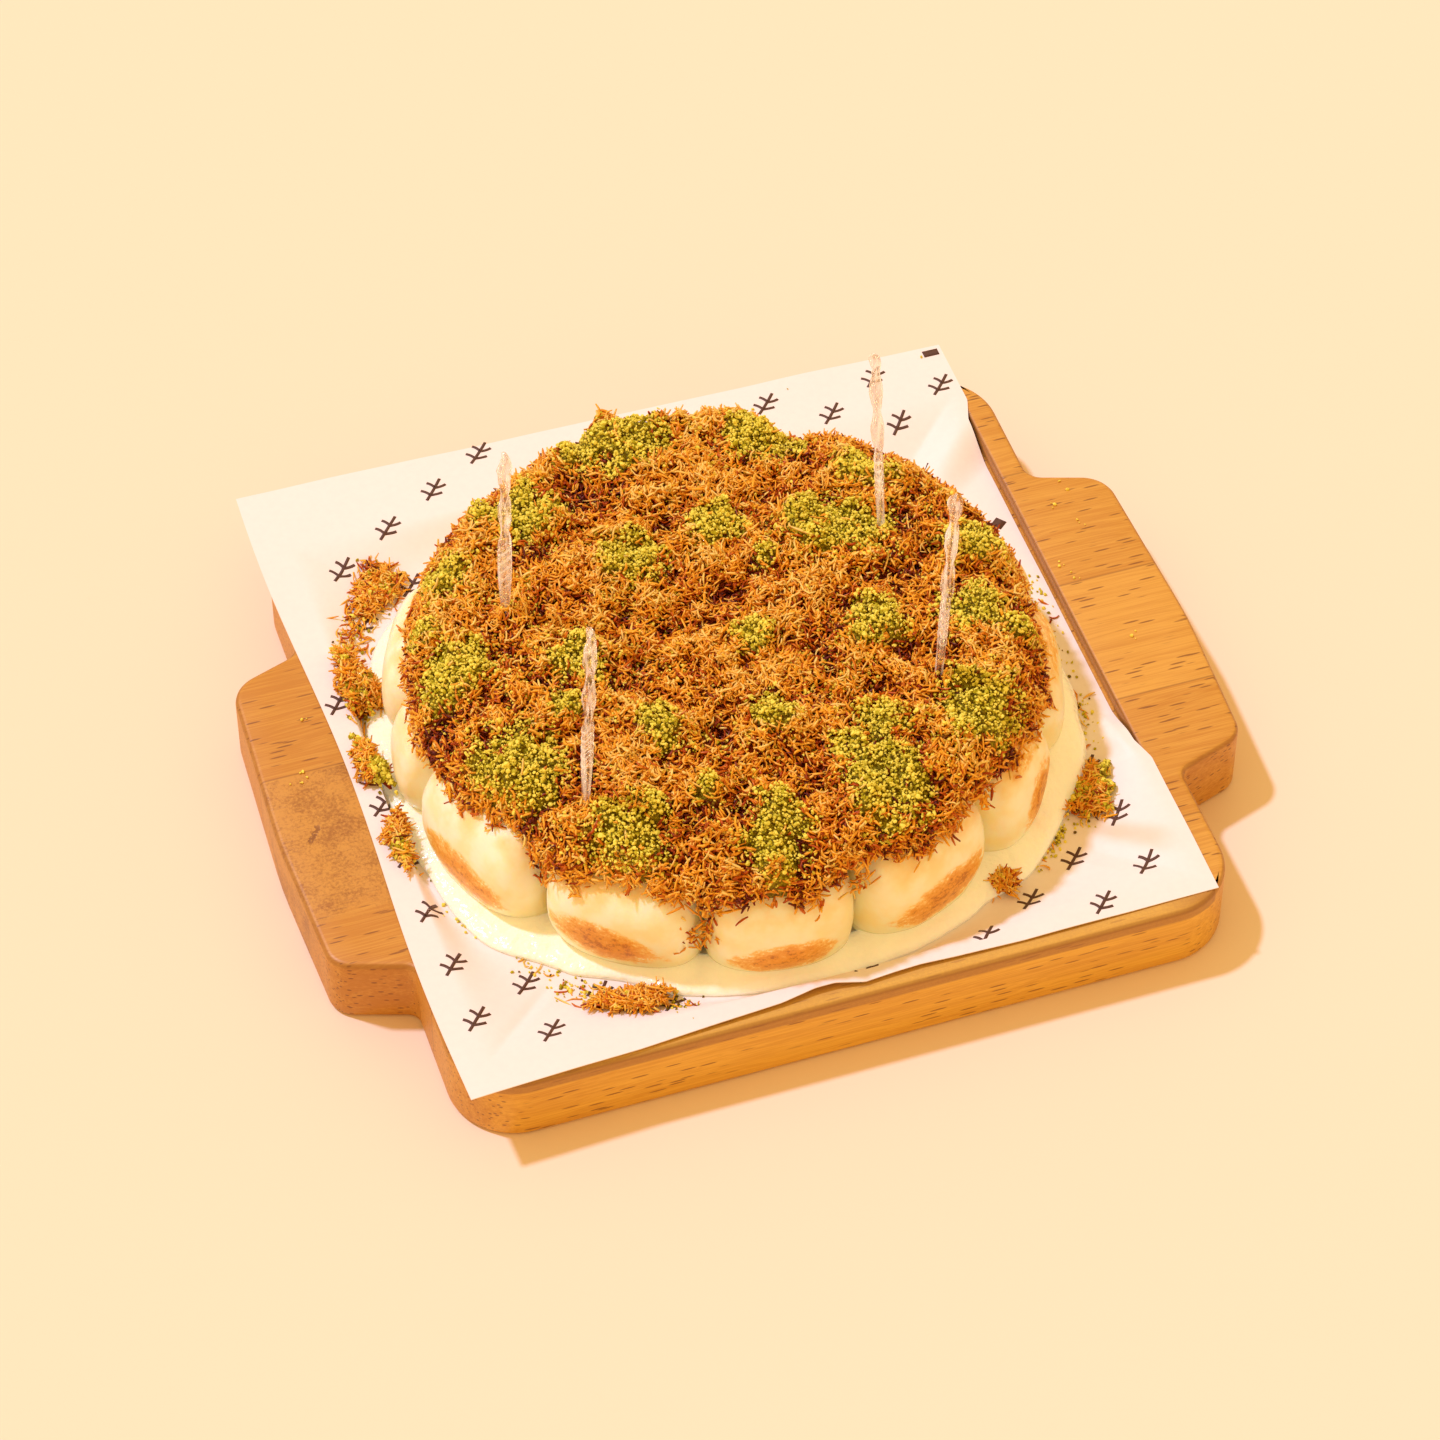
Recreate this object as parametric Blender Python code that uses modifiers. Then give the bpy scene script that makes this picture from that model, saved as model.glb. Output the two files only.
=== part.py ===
# A round of filled bread buns under toasted kataifi shreds and ground pistachio, in a pool
# of cream, on greaseproof paper and a beech board, with four clear picks standing in it.
# Metres, +Z up. The origin is under the board's middle, and +X runs through its handles.

import math

import bmesh
import bpy
from mathutils import Matrix, Vector, noise

MM = 0.001
CLEARANCE = 0.3 * MM  # left between pieces that touch in the real dish

# Board: a square slab with a trapezoid handle on each side and a shallow recess on top
BOARD_HALF_X = 140 * MM
BOARD_HALF_Y = 136 * MM
BOARD_THICKNESS = 28 * MM
BOARD_CORNER_RADIUS = 24 * MM
BOARD_EDGE_ROUNDING = 2.5 * MM
HANDLE_ROOT_HALF = 76 * MM
HANDLE_TIP_HALF = 67 * MM
HANDLE_SIDE_REACH = 167 * MM
HANDLE_MIDDLE_REACH = 170 * MM
ARC_STEP = math.radians(18)
RECESS_HALF_X = 130 * MM
RECESS_HALF_Y = 126 * MM
RECESS_DEPTH = 6 * MM
RECESS_CORNER_RADIUS = 2 * MM
RECESS_FLOOR = BOARD_THICKNESS - RECESS_DEPTH

# Paper: corners as x, y at the front left, front right, back right and back left
PAPER_CORNERS = [(-138, -137), (132, -130), (132, 151), (-141, 156)]
PAPER_THICKNESS = 0.5 * MM
PAPER_SIDE_CELLS = 18
PAPER_WAVE = 1.5 * MM
PAPER_WAVE_TURNS = 9
PAPER_RIM_INSET = 0.8 * MM  # where it starts down into the recess
PAPER_SLOPE = 16 * MM  # length of the way down, where the food leaves room
PAPER_FOOD_ROOM = 1 * MM
# Lifted stretch of its front edge: rise, middle and half length
PAPER_FRONT_LIFT = (2.4 * MM, -20 * MM, 40 * MM)
# Stretch of its right edge that has slipped down into the recess
SLIPPED_MIDDLE = 26 * MM
SLIPPED_HALF_LENGTH = 93.6 * MM
SLIPPED_STEP = 15.6 * MM
SLIPPED_INSET = 1.2 * MM
SLIPPED_FOLD = 3 * MM

# Everything edible stands on the paper
FOOD_BASE = RECESS_FLOOR + CLEARANCE + PAPER_THICKNESS + CLEARANCE
CAKE_CENTRE = Vector((-5.3 * MM, -2 * MM, 0))

# Buns: a ring of soft pillows, parted at these bearings in degrees from +X
BUN_CREASES = [-1, 25, 53, 81, 109, 139, 169, 185.6, 217.5, 248, 277, 307, 329, 359]
BUN_REACHES = [118, 117, 118.5, 117.5, 118, 118.5, 116.5, 118.5, 117.5, 116.5, 117, 118.5, 118]
BUN_DROPS = [0, 1.2, 0.4, 0.8, 0, 1, 2.4, 0.6, 1.4, 0.8, 0, 1, 0.5]
BUN_INNER_RADIUS = 64.5 * MM
BUN_MIDDLE_RADIUS = 91 * MM
BUN_LARGEST_REACH = 118.5 * MM
BUN_HEIGHT = 45 * MM
BUN_BELLY_HEIGHT = 14 * MM
BUN_FOOT_TUCK = 0.02
BUN_ROUNDNESS = 2.6
BUN_FOOT_FULLNESS = 0.9
BUN_SIDE_GAP = 0.2 * MM
BUN_CUTS = 4

CORE_RADIUS = 64 * MM
CORE_HEIGHT = 44 * MM
CORE_SEGMENTS = 48

# Topping: a heap of toasted shreds with mounds of ground pistachio on it
TOPPING_CELLS = 38
TOPPING_REACH = 110.5 * MM
TOPPING_RAGGEDNESS = 5 * MM
TOPPING_LOBES = 4.5
TOPPING_THICKNESS = 11 * MM
TOPPING_RIM_THICKNESS = 2.5 * MM
TOPPING_RELIEF_FADE = 0.125  # share of the radius over which the bumps fade at the rim
TOPPING_GAP = 0.8 * MM
SHRED_BUMP = 3.2 * MM
SHRED_SPACING = 7 * MM
TUFT_BUMP = 3 * MM
TUFT_SPACING = 24 * MM
PISTACHIO_RISE = 2.5 * MM

# Pistachio mounds as x, y (from the cake's centre) and radius
PISTACHIO_MOUNDS = [
    (-9, 93, 17), (41, 80, 16), (73, 54, 15), (-53, 73, 14), (14, 46, 11), (52, 30, 19),
    (-17, 39, 15), (-86, 48, 13), (95, 7, 15), (87, -28, 17), (-93, 9, 12), (-53, -6, 16),
    (11, -13, 15), (53, -14, 16), (65, -61, 15), (-33, -44, 15), (-85, -38, 18), (11, -49, 15),
    (41, -55, 16), (29, -83, 14), (-61, -79, 18), (-15, -89, 16),
]

# Cream pool: how far it spreads from the cake's centre at each bearing
CREAM_SPREAD = [
    (-166, 123), (-154, 126.5), (-148, 128), (-134, 123.5), (-124, 120), (-116, 122.5),
    (-106, 121), (-94, 120), (-84, 121), (-74, 121), (-61, 122), (-50, 126.5), (-38, 127),
    (-30, 130), (-14, 127), (0, 124), (25, 122), (70, 122), (110, 122), (129, 128),
    (144, 131), (158, 127), (174, 122.5),
]
CREAM_INNER_RADIUS = 100 * MM
CREAM_DEPTH = 3 * MM
CREAM_LOBE_DEPTH = 10 * MM
CREAM_LOBE_BEARING = -22
CREAM_LOBE_SPAN = 20
CREAM_SEGMENTS = 72
CREAM_SIDES = 8

# Loose clumps as name, x, y, half length, half width, height, turn in degrees
CLUMPS = [
    ("clump_left", -122, 53, 17, 6, 10, 95),
    ("clump_left_middle", -130, 14, 14, 5, 7, 100),
    ("clump_left_front", -130, -22, 13, 4, 6, 85),
    ("clump_left_back", -104.3, 99, 12, 8, 5, 50),
    ("clump_front", -74.3, -112, 14, 5, 6, -10),
    ("clump_in_cream", 63.7, -102, 6, 5, 6, 20),
    ("clump_right", 107.7, -73, 14, 8, 7, 55),
]
CLUMP_ROUGHNESS = 0.22
CLUMP_BUMP_RATE = 2.5
CLUMP_ROOM = 1.8 * MM  # left over the paper, whose folds are straight between its creases
CLUMP_FINE_FROM = 12  # clumps longer than this have finer facets

# Picks as x, y at their foot (from the cake's centre), height above it, and lean of the tip
PICKS = [
    (-70.8, 26.3, 81.5, 2.2, -0.5),
    (-69.3, -62.8, 86.5, 3.2, -0.9),
    (66.9, 23.7, 88, -4.2, 1.5),
    (62, -48.2, 92, 2.7, -1.1),
]
PICK_FOOT = FOOD_BASE + 53.9 * MM
PICK_SINK = 31 * MM  # length hidden under the foot
PICK_HALF_WIDTH = 2.5 * MM
PICK_HALF_THICKNESS = 1.5 * MM
PICK_NECK_RADIUS = 1.5 * MM
PICK_TIP_HALF_WIDTH = 3 * MM
PICK_TIP_END_SHARE = 0.12
PICK_RIPPLE = 0.12
PICK_SWELL_END = 0.3  # share of the height where the neck has widened to full width
PICK_TWIST_START = 0.45
PICK_TIP_START = 0.9
PICK_TURNS = 1.25
PICK_RINGS = 18
PICK_SIDES = 6
SOCKET_RADIUS = 2.3 * MM
SOCKET_RISE = 30 * MM
SOCKET_SIDES = 12


def clear_scene():
    for item in list(bpy.data.objects):
        bpy.data.objects.remove(item, do_unlink=True)


def make_collection(name):
    collection = bpy.data.collections.new(name)
    bpy.context.scene.collection.children.link(collection)
    return collection


def make_material(name, colour, roughness, transmission=0.0):
    material = bpy.data.materials.new(name)
    material.use_nodes = True
    shader = material.node_tree.nodes["Principled BSDF"]
    shader.inputs["Base Color"].default_value = (*colour, 1)
    shader.inputs["Roughness"].default_value = roughness
    shader.inputs["Metallic"].default_value = 0
    shader.inputs["Transmission Weight"].default_value = transmission
    material.diffuse_color = (*colour, 1)
    return material


def make_object(name, bm, collection, material=None):
    bm.normal_update()
    bmesh.ops.recalc_face_normals(bm, faces=bm.faces)
    if bm.calc_volume(signed=True) < 0:
        bmesh.ops.reverse_faces(bm, faces=bm.faces)
    mesh = bpy.data.meshes.new(name)
    bm.to_mesh(mesh)
    bm.free()
    mesh.shade_smooth()
    mesh.set_sharp_from_angle(angle=math.radians(40))
    item = bpy.data.objects.new(name, mesh)
    collection.objects.link(item)
    if material:
        mesh.materials.append(material)
    return item


def make_cutter(name, bm, collection):
    cutter = make_object(name, bm, collection)
    cutter.hide_render = True
    cutter.display_type = "WIRE"
    return cutter


def cut(item, cutter):
    modifier = item.modifiers.new("cut_" + cutter.name, "BOOLEAN")
    modifier.operation = "DIFFERENCE"
    modifier.object = cutter


def cut_by_collection(item, cutters):
    modifier = item.modifiers.new("cut_" + cutters.name, "BOOLEAN")
    modifier.operation = "DIFFERENCE"
    modifier.operand_type = "COLLECTION"
    modifier.collection = cutters
    modifier.use_self = True


def polar(radius, bearing, height):
    return CAKE_CENTRE + Vector((radius * math.cos(bearing), radius * math.sin(bearing), height))


def rounded_outline(corners):
    # Each corner (x, y, radius) becomes an arc that touches both of its sides
    points = []
    for index, (x, y, radius) in enumerate(corners):
        corner = Vector((x, y))
        back = (Vector(corners[index - 1][:2]) - corner).normalized()
        ahead = (Vector(corners[(index + 1) % len(corners)][:2]) - corner).normalized()
        half_angle = back.angle(ahead) / 2
        centre = corner + (back + ahead).normalized() * radius / math.sin(half_angle)
        first = corner + back * radius / math.tan(half_angle) - centre
        last = corner + ahead * radius / math.tan(half_angle) - centre
        sweep = first.angle_signed(last)
        steps = max(1, round(abs(sweep) / ARC_STEP))
        for step in range(steps + 1):
            points.append(centre + Matrix.Rotation(-sweep * step / steps, 2) @ first)
    return points


def make_board(collection, recess_cutters):
    right_side = [
        (BOARD_HALF_X, -BOARD_HALF_Y, BOARD_CORNER_RADIUS),
        (BOARD_HALF_X, -HANDLE_ROOT_HALF, 5 * MM),
        (HANDLE_SIDE_REACH, -HANDLE_TIP_HALF, 10 * MM),
        (HANDLE_MIDDLE_REACH, -8 * MM, 200 * MM),
        (HANDLE_SIDE_REACH, HANDLE_TIP_HALF, 13 * MM),
        (BOARD_HALF_X, HANDLE_ROOT_HALF, 7 * MM),
        (BOARD_HALF_X, BOARD_HALF_Y, BOARD_CORNER_RADIUS),
    ]
    left_side = [(-x, y, radius) for x, y, radius in reversed(right_side)]
    bm = bmesh.new()
    outline = [bm.verts.new((*point, 0)) for point in rounded_outline(right_side + left_side)]
    face = bm.faces.new(outline)
    extruded = bmesh.ops.extrude_face_region(bm, geom=[face])
    risen = [part for part in extruded["geom"] if isinstance(part, bmesh.types.BMVert)]
    bmesh.ops.translate(bm, verts=risen, vec=(0, 0, BOARD_THICKNESS))
    beech = make_material("beech", (0.58, 0.30, 0.11), 0.5)
    board = make_object("board", bm, collection, beech)
    rounding = board.modifiers.new("edge_rounding", "BEVEL")
    rounding.width = BOARD_EDGE_ROUNDING
    rounding.segments = 2
    rounding.limit_method = "ANGLE"
    rounding.angle_limit = math.radians(60)
    cut(board, make_recess(recess_cutters))


def make_recess(collection):
    corners = [(RECESS_HALF_X * x, RECESS_HALF_Y * y, RECESS_CORNER_RADIUS)
               for x, y in [(1, -1), (1, 1), (-1, 1), (-1, -1)]]
    bm = bmesh.new()
    floor = bm.faces.new([bm.verts.new((*point, RECESS_FLOOR)) for point in rounded_outline(corners)])
    extruded = bmesh.ops.extrude_face_region(bm, geom=[floor])
    risen = [part for part in extruded["geom"] if isinstance(part, bmesh.types.BMVert)]
    bmesh.ops.translate(bm, verts=risen, vec=(0, 0, 2 * RECESS_DEPTH))
    return make_cutter("recess", bm, collection)


def paper_outline():
    # Points round the sheet's edge from its front left corner, with a slight wave on the left
    corners = [Vector(corner) * MM for corner in PAPER_CORNERS]
    points = []
    for side in range(4):
        for step in range(PAPER_SIDE_CELLS):
            share = step / PAPER_SIDE_CELLS
            point = corners[side].lerp(corners[(side + 1) % 4], share)
            if side == 3:
                point.x -= PAPER_WAVE * math.sin(PAPER_WAVE_TURNS * (1 - share))
            points.append((side, point))
    return points


def recess_reach(bearing):
    # Distance from the cake's centre to the line where the paper starts down
    ways = []
    for half, centre, along in [(RECESS_HALF_X, CAKE_CENTRE.x, math.cos(bearing)),
                                (RECESS_HALF_Y, CAKE_CENTRE.y, math.sin(bearing))]:
        if abs(along) > 0.001:
            ways.append((half - PAPER_RIM_INSET - math.copysign(1, along) * centre) / abs(along))
    return min(ways)


def paper_foot(bearing):
    # Distance from the cake's centre to where the paper has come down to the floor
    food = cream_spread(math.degrees(bearing)) + PAPER_FOOD_ROOM
    return max(food, recess_reach(bearing) - PAPER_SLOPE)


def paper_height(x, y):
    across = Vector((x, y)) - CAKE_CENTRE.xy
    bearing = math.atan2(across.y, across.x)
    foot = paper_foot(bearing)
    share = min(1, max(0, (across.length - foot) / (recess_reach(bearing) - foot)))
    return RECESS_FLOOR + CLEARANCE + RECESS_DEPTH * share


def paper_ray(side, edge):
    # Points from the food out to the sheet's edge: on the floor, at the rim, and at the edge
    across = edge - CAKE_CENTRE.xy
    bearing = math.atan2(across.y, across.x)
    high = BOARD_THICKNESS + CLEARANCE
    low = RECESS_FLOOR + CLEARANCE
    foot = polar(paper_foot(bearing), bearing, low)
    rim = polar(recess_reach(bearing), bearing, high)
    outer = Vector((edge.x, edge.y, high))
    if side == 0:
        rise, middle, half_length = PAPER_FRONT_LIFT
        outer.z += rise * math.exp(-((edge.x - middle) / half_length) ** 2)
    if side == 1:
        # 0 on the rim, 1 drawn in over the recess, 2 down on its floor
        slipped = (SLIPPED_HALF_LENGTH - abs(edge.y - SLIPPED_MIDDLE)) / SLIPPED_STEP
        slipped = round(min(2, max(0, slipped)))
        if slipped:
            outer.x = RECESS_HALF_X - SLIPPED_INSET
            rim.x = outer.x - SLIPPED_FOLD
            outer.z = rim.z = high if slipped == 1 else low
    return [foot, rim, outer]


def make_paper(collection):
    rays = [paper_ray(side, edge) for side, edge in paper_outline()]
    bm = bmesh.new()
    rings = [[bm.verts.new(point) for point in ray] for ray in rays]
    bm.faces.new([ring[0] for ring in rings])
    for index, ring in enumerate(rings):
        after = rings[(index + 1) % len(rings)]
        for step in range(len(ring) - 1):
            bm.faces.new([ring[step], ring[step + 1], after[step + 1], after[step]])
    paper = make_object("paper", bm, collection, make_material("greaseproof", (0.9, 0.82, 0.76), 0.6))
    sheet = paper.modifiers.new("sheet", "SOLIDIFY")
    sheet.thickness = PAPER_THICKNESS
    sheet.offset = 1


def bun_point(cube, start, end, reach, height, grow):
    # The cube runs -1 to 1: x side to side, y from the core outwards, z from the foot up.
    # Its upper and outer faces are drawn in towards a superellipsoid.
    u, v, w = cube
    outer, upper = max(v, 0), max(w, 0)
    power = BUN_ROUNDNESS + BUN_FOOT_FULLNESS * max(-w, 0)
    norm = (abs(u) ** power + outer ** power + upper ** power) ** (1 / power)
    shrink = max(abs(u), outer, upper) / norm if norm > 0 else 1
    u *= shrink
    v *= shrink if v > 0 else 1
    w *= shrink if w > 0 else 1
    outer_depth = reach + grow - BUN_MIDDLE_RADIUS
    inner_depth = BUN_MIDDLE_RADIUS - BUN_INNER_RADIUS + grow
    radius = BUN_MIDDLE_RADIUS + v * (outer_depth if v > 0 else inner_depth)
    if w < 0 and v > 0:
        radius -= BUN_FOOT_TUCK * v * w * w * BUN_MIDDLE_RADIUS
    half_width = math.radians(end - start) / 2 - (BUN_SIDE_GAP - grow) / radius
    bearing = math.radians(end + start) / 2 + u * half_width
    rise = w * (height + grow - BUN_BELLY_HEIGHT if w > 0 else BUN_BELLY_HEIGHT + grow)
    return polar(radius, bearing, FOOD_BASE + BUN_BELLY_HEIGHT + rise)


def bun_shape(index, grow=0.0):
    bm = bmesh.new()
    bmesh.ops.create_cube(bm, size=2)
    bmesh.ops.subdivide_edges(bm, edges=bm.edges, cuts=BUN_CUTS, use_grid_fill=True)
    start, end = BUN_CREASES[index:index + 2]
    for vert in bm.verts:
        vert.co = bun_point(vert.co, start, end, BUN_REACHES[index] * MM,
                            BUN_HEIGHT - BUN_DROPS[index] * MM, grow)
    return bm


def make_buns(collection, cream_cutters):
    bread = make_material("bread", (0.86, 0.66, 0.36), 0.55)
    buns = []
    for index in range(len(BUN_REACHES)):
        buns.append(make_object(f"bun_{index + 1:02d}", bun_shape(index), collection, bread))
        make_cutter(f"cream_cutter_{index + 1:02d}", bun_shape(index, 2 * CLEARANCE), cream_cutters)
    return buns


def make_core(collection):
    bm = bmesh.new()
    bmesh.ops.create_cone(bm, cap_ends=True, segments=CORE_SEGMENTS, radius1=CORE_RADIUS,
                          radius2=CORE_RADIUS, depth=CORE_HEIGHT)
    bmesh.ops.translate(bm, verts=bm.verts,
                        vec=CAKE_CENTRE + Vector((0, 0, FOOD_BASE + CORE_HEIGHT / 2)))
    make_object("inner_buns", bm, collection, make_material("inner_bread", (0.86, 0.66, 0.36), 0.55))


def bread_top(radius):
    # Height of the fullest bun over its middle line, above the paper
    v = max(0, radius - BUN_MIDDLE_RADIUS) / (BUN_LARGEST_REACH - BUN_MIDDLE_RADIUS)
    share = max(0, 1 - v ** BUN_ROUNDNESS) ** (1 / BUN_ROUNDNESS)
    return BUN_BELLY_HEIGHT + (BUN_HEIGHT - BUN_BELLY_HEIGHT) * share


def topping_relief(x, y):
    place = Vector((x, y, 0))
    shreds = SHRED_BUMP * noise.noise(place / SHRED_SPACING)
    tufts = TUFT_BUMP * noise.noise(place / TUFT_SPACING + Vector((5, 3, 1)))
    mounds = 0
    for mound_x, mound_y, size in PISTACHIO_MOUNDS:
        apart = (place - Vector((mound_x * MM, mound_y * MM, 0))).length / (size * MM)
        mounds = max(mounds, PISTACHIO_RISE * max(0, 1 - apart ** 3))
    return shreds + tufts + mounds


def topping_point(x, y, is_top):
    # A square of -1 to 1 is drawn round into a disc, and the disc out to the ragged rim
    across = Vector((x * math.sqrt(1 - y * y / 2), y * math.sqrt(1 - x * x / 2), 0))
    along = min(1, across.length)
    bearing = math.atan2(across.y, across.x)
    around = Vector((math.cos(bearing), math.sin(bearing), 0))
    rim = TOPPING_REACH + TOPPING_RAGGEDNESS * noise.noise(around * TOPPING_LOBES)
    place = polar(rim * along, bearing, FOOD_BASE + bread_top(rim * along) + TOPPING_GAP)
    if is_top:
        thickness = TOPPING_RIM_THICKNESS
        thickness += (TOPPING_THICKNESS - TOPPING_RIM_THICKNESS) * (1 - along ** 6)
        relief = topping_relief(place.x - CAKE_CENTRE.x, place.y - CAKE_CENTRE.y)
        place.z += thickness + relief * min(1, (1 - along) / TOPPING_RELIEF_FADE)
    return place


def make_topping(collection):
    bm = bmesh.new()
    bmesh.ops.create_grid(bm, x_segments=TOPPING_CELLS, y_segments=TOPPING_CELLS, size=1)
    under = bm.verts[:]
    raised = bmesh.ops.extrude_face_region(bm, geom=bm.faces[:])["geom"]
    for vert in [part for part in raised if isinstance(part, bmesh.types.BMVert)]:
        vert.co = topping_point(vert.co.x, vert.co.y, True)
    for vert in under:
        vert.co = topping_point(vert.co.x, vert.co.y, False)
    # The level underside in the middle becomes one face
    lowest = FOOD_BASE + BUN_HEIGHT + TOPPING_GAP
    level = set(vert for vert in under if abs(vert.co.z - lowest) < 0.001 * MM)
    bmesh.ops.dissolve_faces(bm, faces=[face for face in bm.faces if level.issuperset(face.verts)])
    shreds = make_material("toasted_shreds", (0.62, 0.25, 0.05), 0.5)
    return make_object("topping", bm, collection, shreds)


def cream_spread(bearing):
    # Reach of the pool at a bearing, read between the two nearest entries of the list
    bearing = (bearing - CREAM_SPREAD[0][0]) % 360 + CREAM_SPREAD[0][0]
    stops = CREAM_SPREAD + [(CREAM_SPREAD[0][0] + 360, CREAM_SPREAD[0][1])]
    for (low, near), (high, far) in zip(stops, stops[1:]):
        if low <= bearing <= high:
            share = (bearing - low) / (high - low)
            share = share * share * (3 - 2 * share)
            return (near + (far - near) * share) * MM
    return stops[0][1] * MM


def make_cream(collection, cream_cutters):
    bm = bmesh.new()
    for segment in range(CREAM_SEGMENTS):
        bearing = 2 * math.pi * segment / CREAM_SEGMENTS
        outer = cream_spread(math.degrees(bearing))
        away = (math.degrees(bearing) - CREAM_LOBE_BEARING + 180) % 360 - 180
        lobe = max(0, 1 - (away / CREAM_LOBE_SPAN) ** 2)
        depth = CREAM_DEPTH + (CREAM_LOBE_DEPTH - CREAM_DEPTH) * lobe
        middle, half = (outer + CREAM_INNER_RADIUS) / 2, (outer - CREAM_INNER_RADIUS) / 2
        for side in range(CREAM_SIDES):
            turn = 2 * math.pi * side / CREAM_SIDES
            height = depth * max(0, math.sin(turn)) ** 0.7
            bm.verts.new(polar(middle + half * math.cos(turn), bearing, FOOD_BASE + height))
    bm.verts.ensure_lookup_table()
    for segment in range(CREAM_SEGMENTS):
        after = (segment + 1) % CREAM_SEGMENTS
        for side in range(CREAM_SIDES):
            beside = (side + 1) % CREAM_SIDES
            ring, next_ring = segment * CREAM_SIDES, after * CREAM_SIDES
            bm.faces.new([bm.verts[ring + side], bm.verts[next_ring + side],
                          bm.verts[next_ring + beside], bm.verts[ring + beside]])
    cream = make_object("cream", bm, collection, make_material("cream", (0.92, 0.8, 0.52), 0.2))
    cut_by_collection(cream, cream_cutters)


def clump_shape(x, y, half_length, half_width, height, turn, grow=0.0):
    bm = bmesh.new()
    bmesh.ops.create_icosphere(bm, subdivisions=3 if half_length > CLUMP_FINE_FROM else 2,
                                radius=1)
    spin = Matrix.Rotation(math.radians(turn), 3, "Z")
    lowest = paper_height(x * MM, y * MM)
    for vert in bm.verts:
        bump = 1 + CLUMP_ROUGHNESS * noise.noise(vert.co * CLUMP_BUMP_RATE + Vector((x, y, 0)))
        flat = vert.co * bump
        side = grow * (2 if vert.co.z < 0 else 1)
        low = -grow if vert.co.z < 0 else 0
        local = Vector((flat.x * (half_length * MM + side), flat.y * (half_width * MM + side),
                        max(0, flat.z) * (height * MM + grow) + low))
        place = spin @ local + Vector((x * MM, y * MM, 0))
        place.z += max(lowest, paper_height(place.x, place.y)) + PAPER_THICKNESS + CLUMP_ROOM
        vert.co = place
    return bm


def make_clumps(collection, cream_cutters):
    shreds = make_material("fallen_shreds", (0.55, 0.27, 0.06), 0.55)
    for name, *place in CLUMPS:
        make_object(name, clump_shape(*place), collection, shreds)
        make_cutter("around_" + name, clump_shape(*place, grow=2 * CLEARANCE), cream_cutters)


def pick_section(share):
    # Half width, half thickness and turn of the section, share 0 at the foot to 1 at the tip
    swell = math.sin(math.pi / 2 * min(1, max(0, share) / PICK_SWELL_END))
    width = PICK_NECK_RADIUS + (PICK_HALF_WIDTH - PICK_NECK_RADIUS) * swell
    width *= 1 + PICK_RIPPLE * swell * math.cos(4 * math.pi * share)
    if share > PICK_TIP_START:
        past = (share - PICK_TIP_START) / (1 - PICK_TIP_START)
        width = PICK_TIP_HALF_WIDTH * math.sqrt(max(PICK_TIP_END_SHARE, 1 - past ** 3))
    thickness = PICK_NECK_RADIUS + (PICK_HALF_THICKNESS - PICK_NECK_RADIUS) * swell
    twisted = max(0, share - PICK_TWIST_START) / (1 - PICK_TWIST_START)
    return width, thickness, 2 * math.pi * PICK_TURNS * twisted


def pick_frame(x, y, height, lean_x, lean_y):
    # The foot, the way up the pick, its length, and the turn from +Z to that way
    foot = CAKE_CENTRE + Vector((x * MM, y * MM, PICK_FOOT))
    rise = Vector((lean_x, lean_y, height)) * MM
    return foot, rise.normalized(), rise.length, rise.to_track_quat("Z", "Y").to_matrix()


def make_pick(index, place, collection, material):
    foot, along, length, level = pick_frame(*place)
    bm = bmesh.new()
    for ring in range(PICK_RINGS):
        share = (ring - 1) / (PICK_RINGS - 2)
        distance = -PICK_SINK if ring == 0 else share * length
        width, thickness, turn = pick_section(share)
        for side in range(PICK_SIDES):
            angle = 2 * math.pi * side / PICK_SIDES
            across = Vector((width * math.cos(angle), thickness * math.sin(angle), 0))
            across = Matrix.Rotation(turn, 3, "Z") @ across
            bm.verts.new(foot + along * distance + level @ across)
    bm.verts.ensure_lookup_table()
    for ring in range(PICK_RINGS - 1):
        low, high = ring * PICK_SIDES, (ring + 1) * PICK_SIDES
        for side in range(PICK_SIDES):
            beside = (side + 1) % PICK_SIDES
            bm.faces.new([bm.verts[low + side], bm.verts[low + beside],
                          bm.verts[high + beside], bm.verts[high + side]])
    bm.faces.new(bm.verts[:PICK_SIDES])
    bm.faces.new(bm.verts[-PICK_SIDES:])
    make_object(f"pick_{index + 1}", bm, collection, material)


def make_socket(index, place, sockets):
    foot, along, _, level = pick_frame(*place)
    bottom = PICK_SINK + CLEARANCE
    depth = bottom + SOCKET_RISE
    bm = bmesh.new()
    bmesh.ops.create_cone(bm, cap_ends=True, segments=SOCKET_SIDES, radius1=SOCKET_RADIUS,
                          radius2=SOCKET_RADIUS, depth=depth)
    centre = foot + along * (depth / 2 - bottom)
    bmesh.ops.transform(bm, matrix=Matrix.Translation(centre) @ level.to_4x4(), verts=bm.verts)
    return make_cutter(f"socket_{index + 1}", bm, sockets)


def bun_holding(place):
    # Index of the bun that a pick stands in, by its bearing from the cake's centre
    bearing = math.degrees(math.atan2(place[1], place[0]))
    bearing = (bearing - BUN_CREASES[0]) % 360 + BUN_CREASES[0]
    return sum(1 for crease in BUN_CREASES[1:] if crease < bearing)


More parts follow.
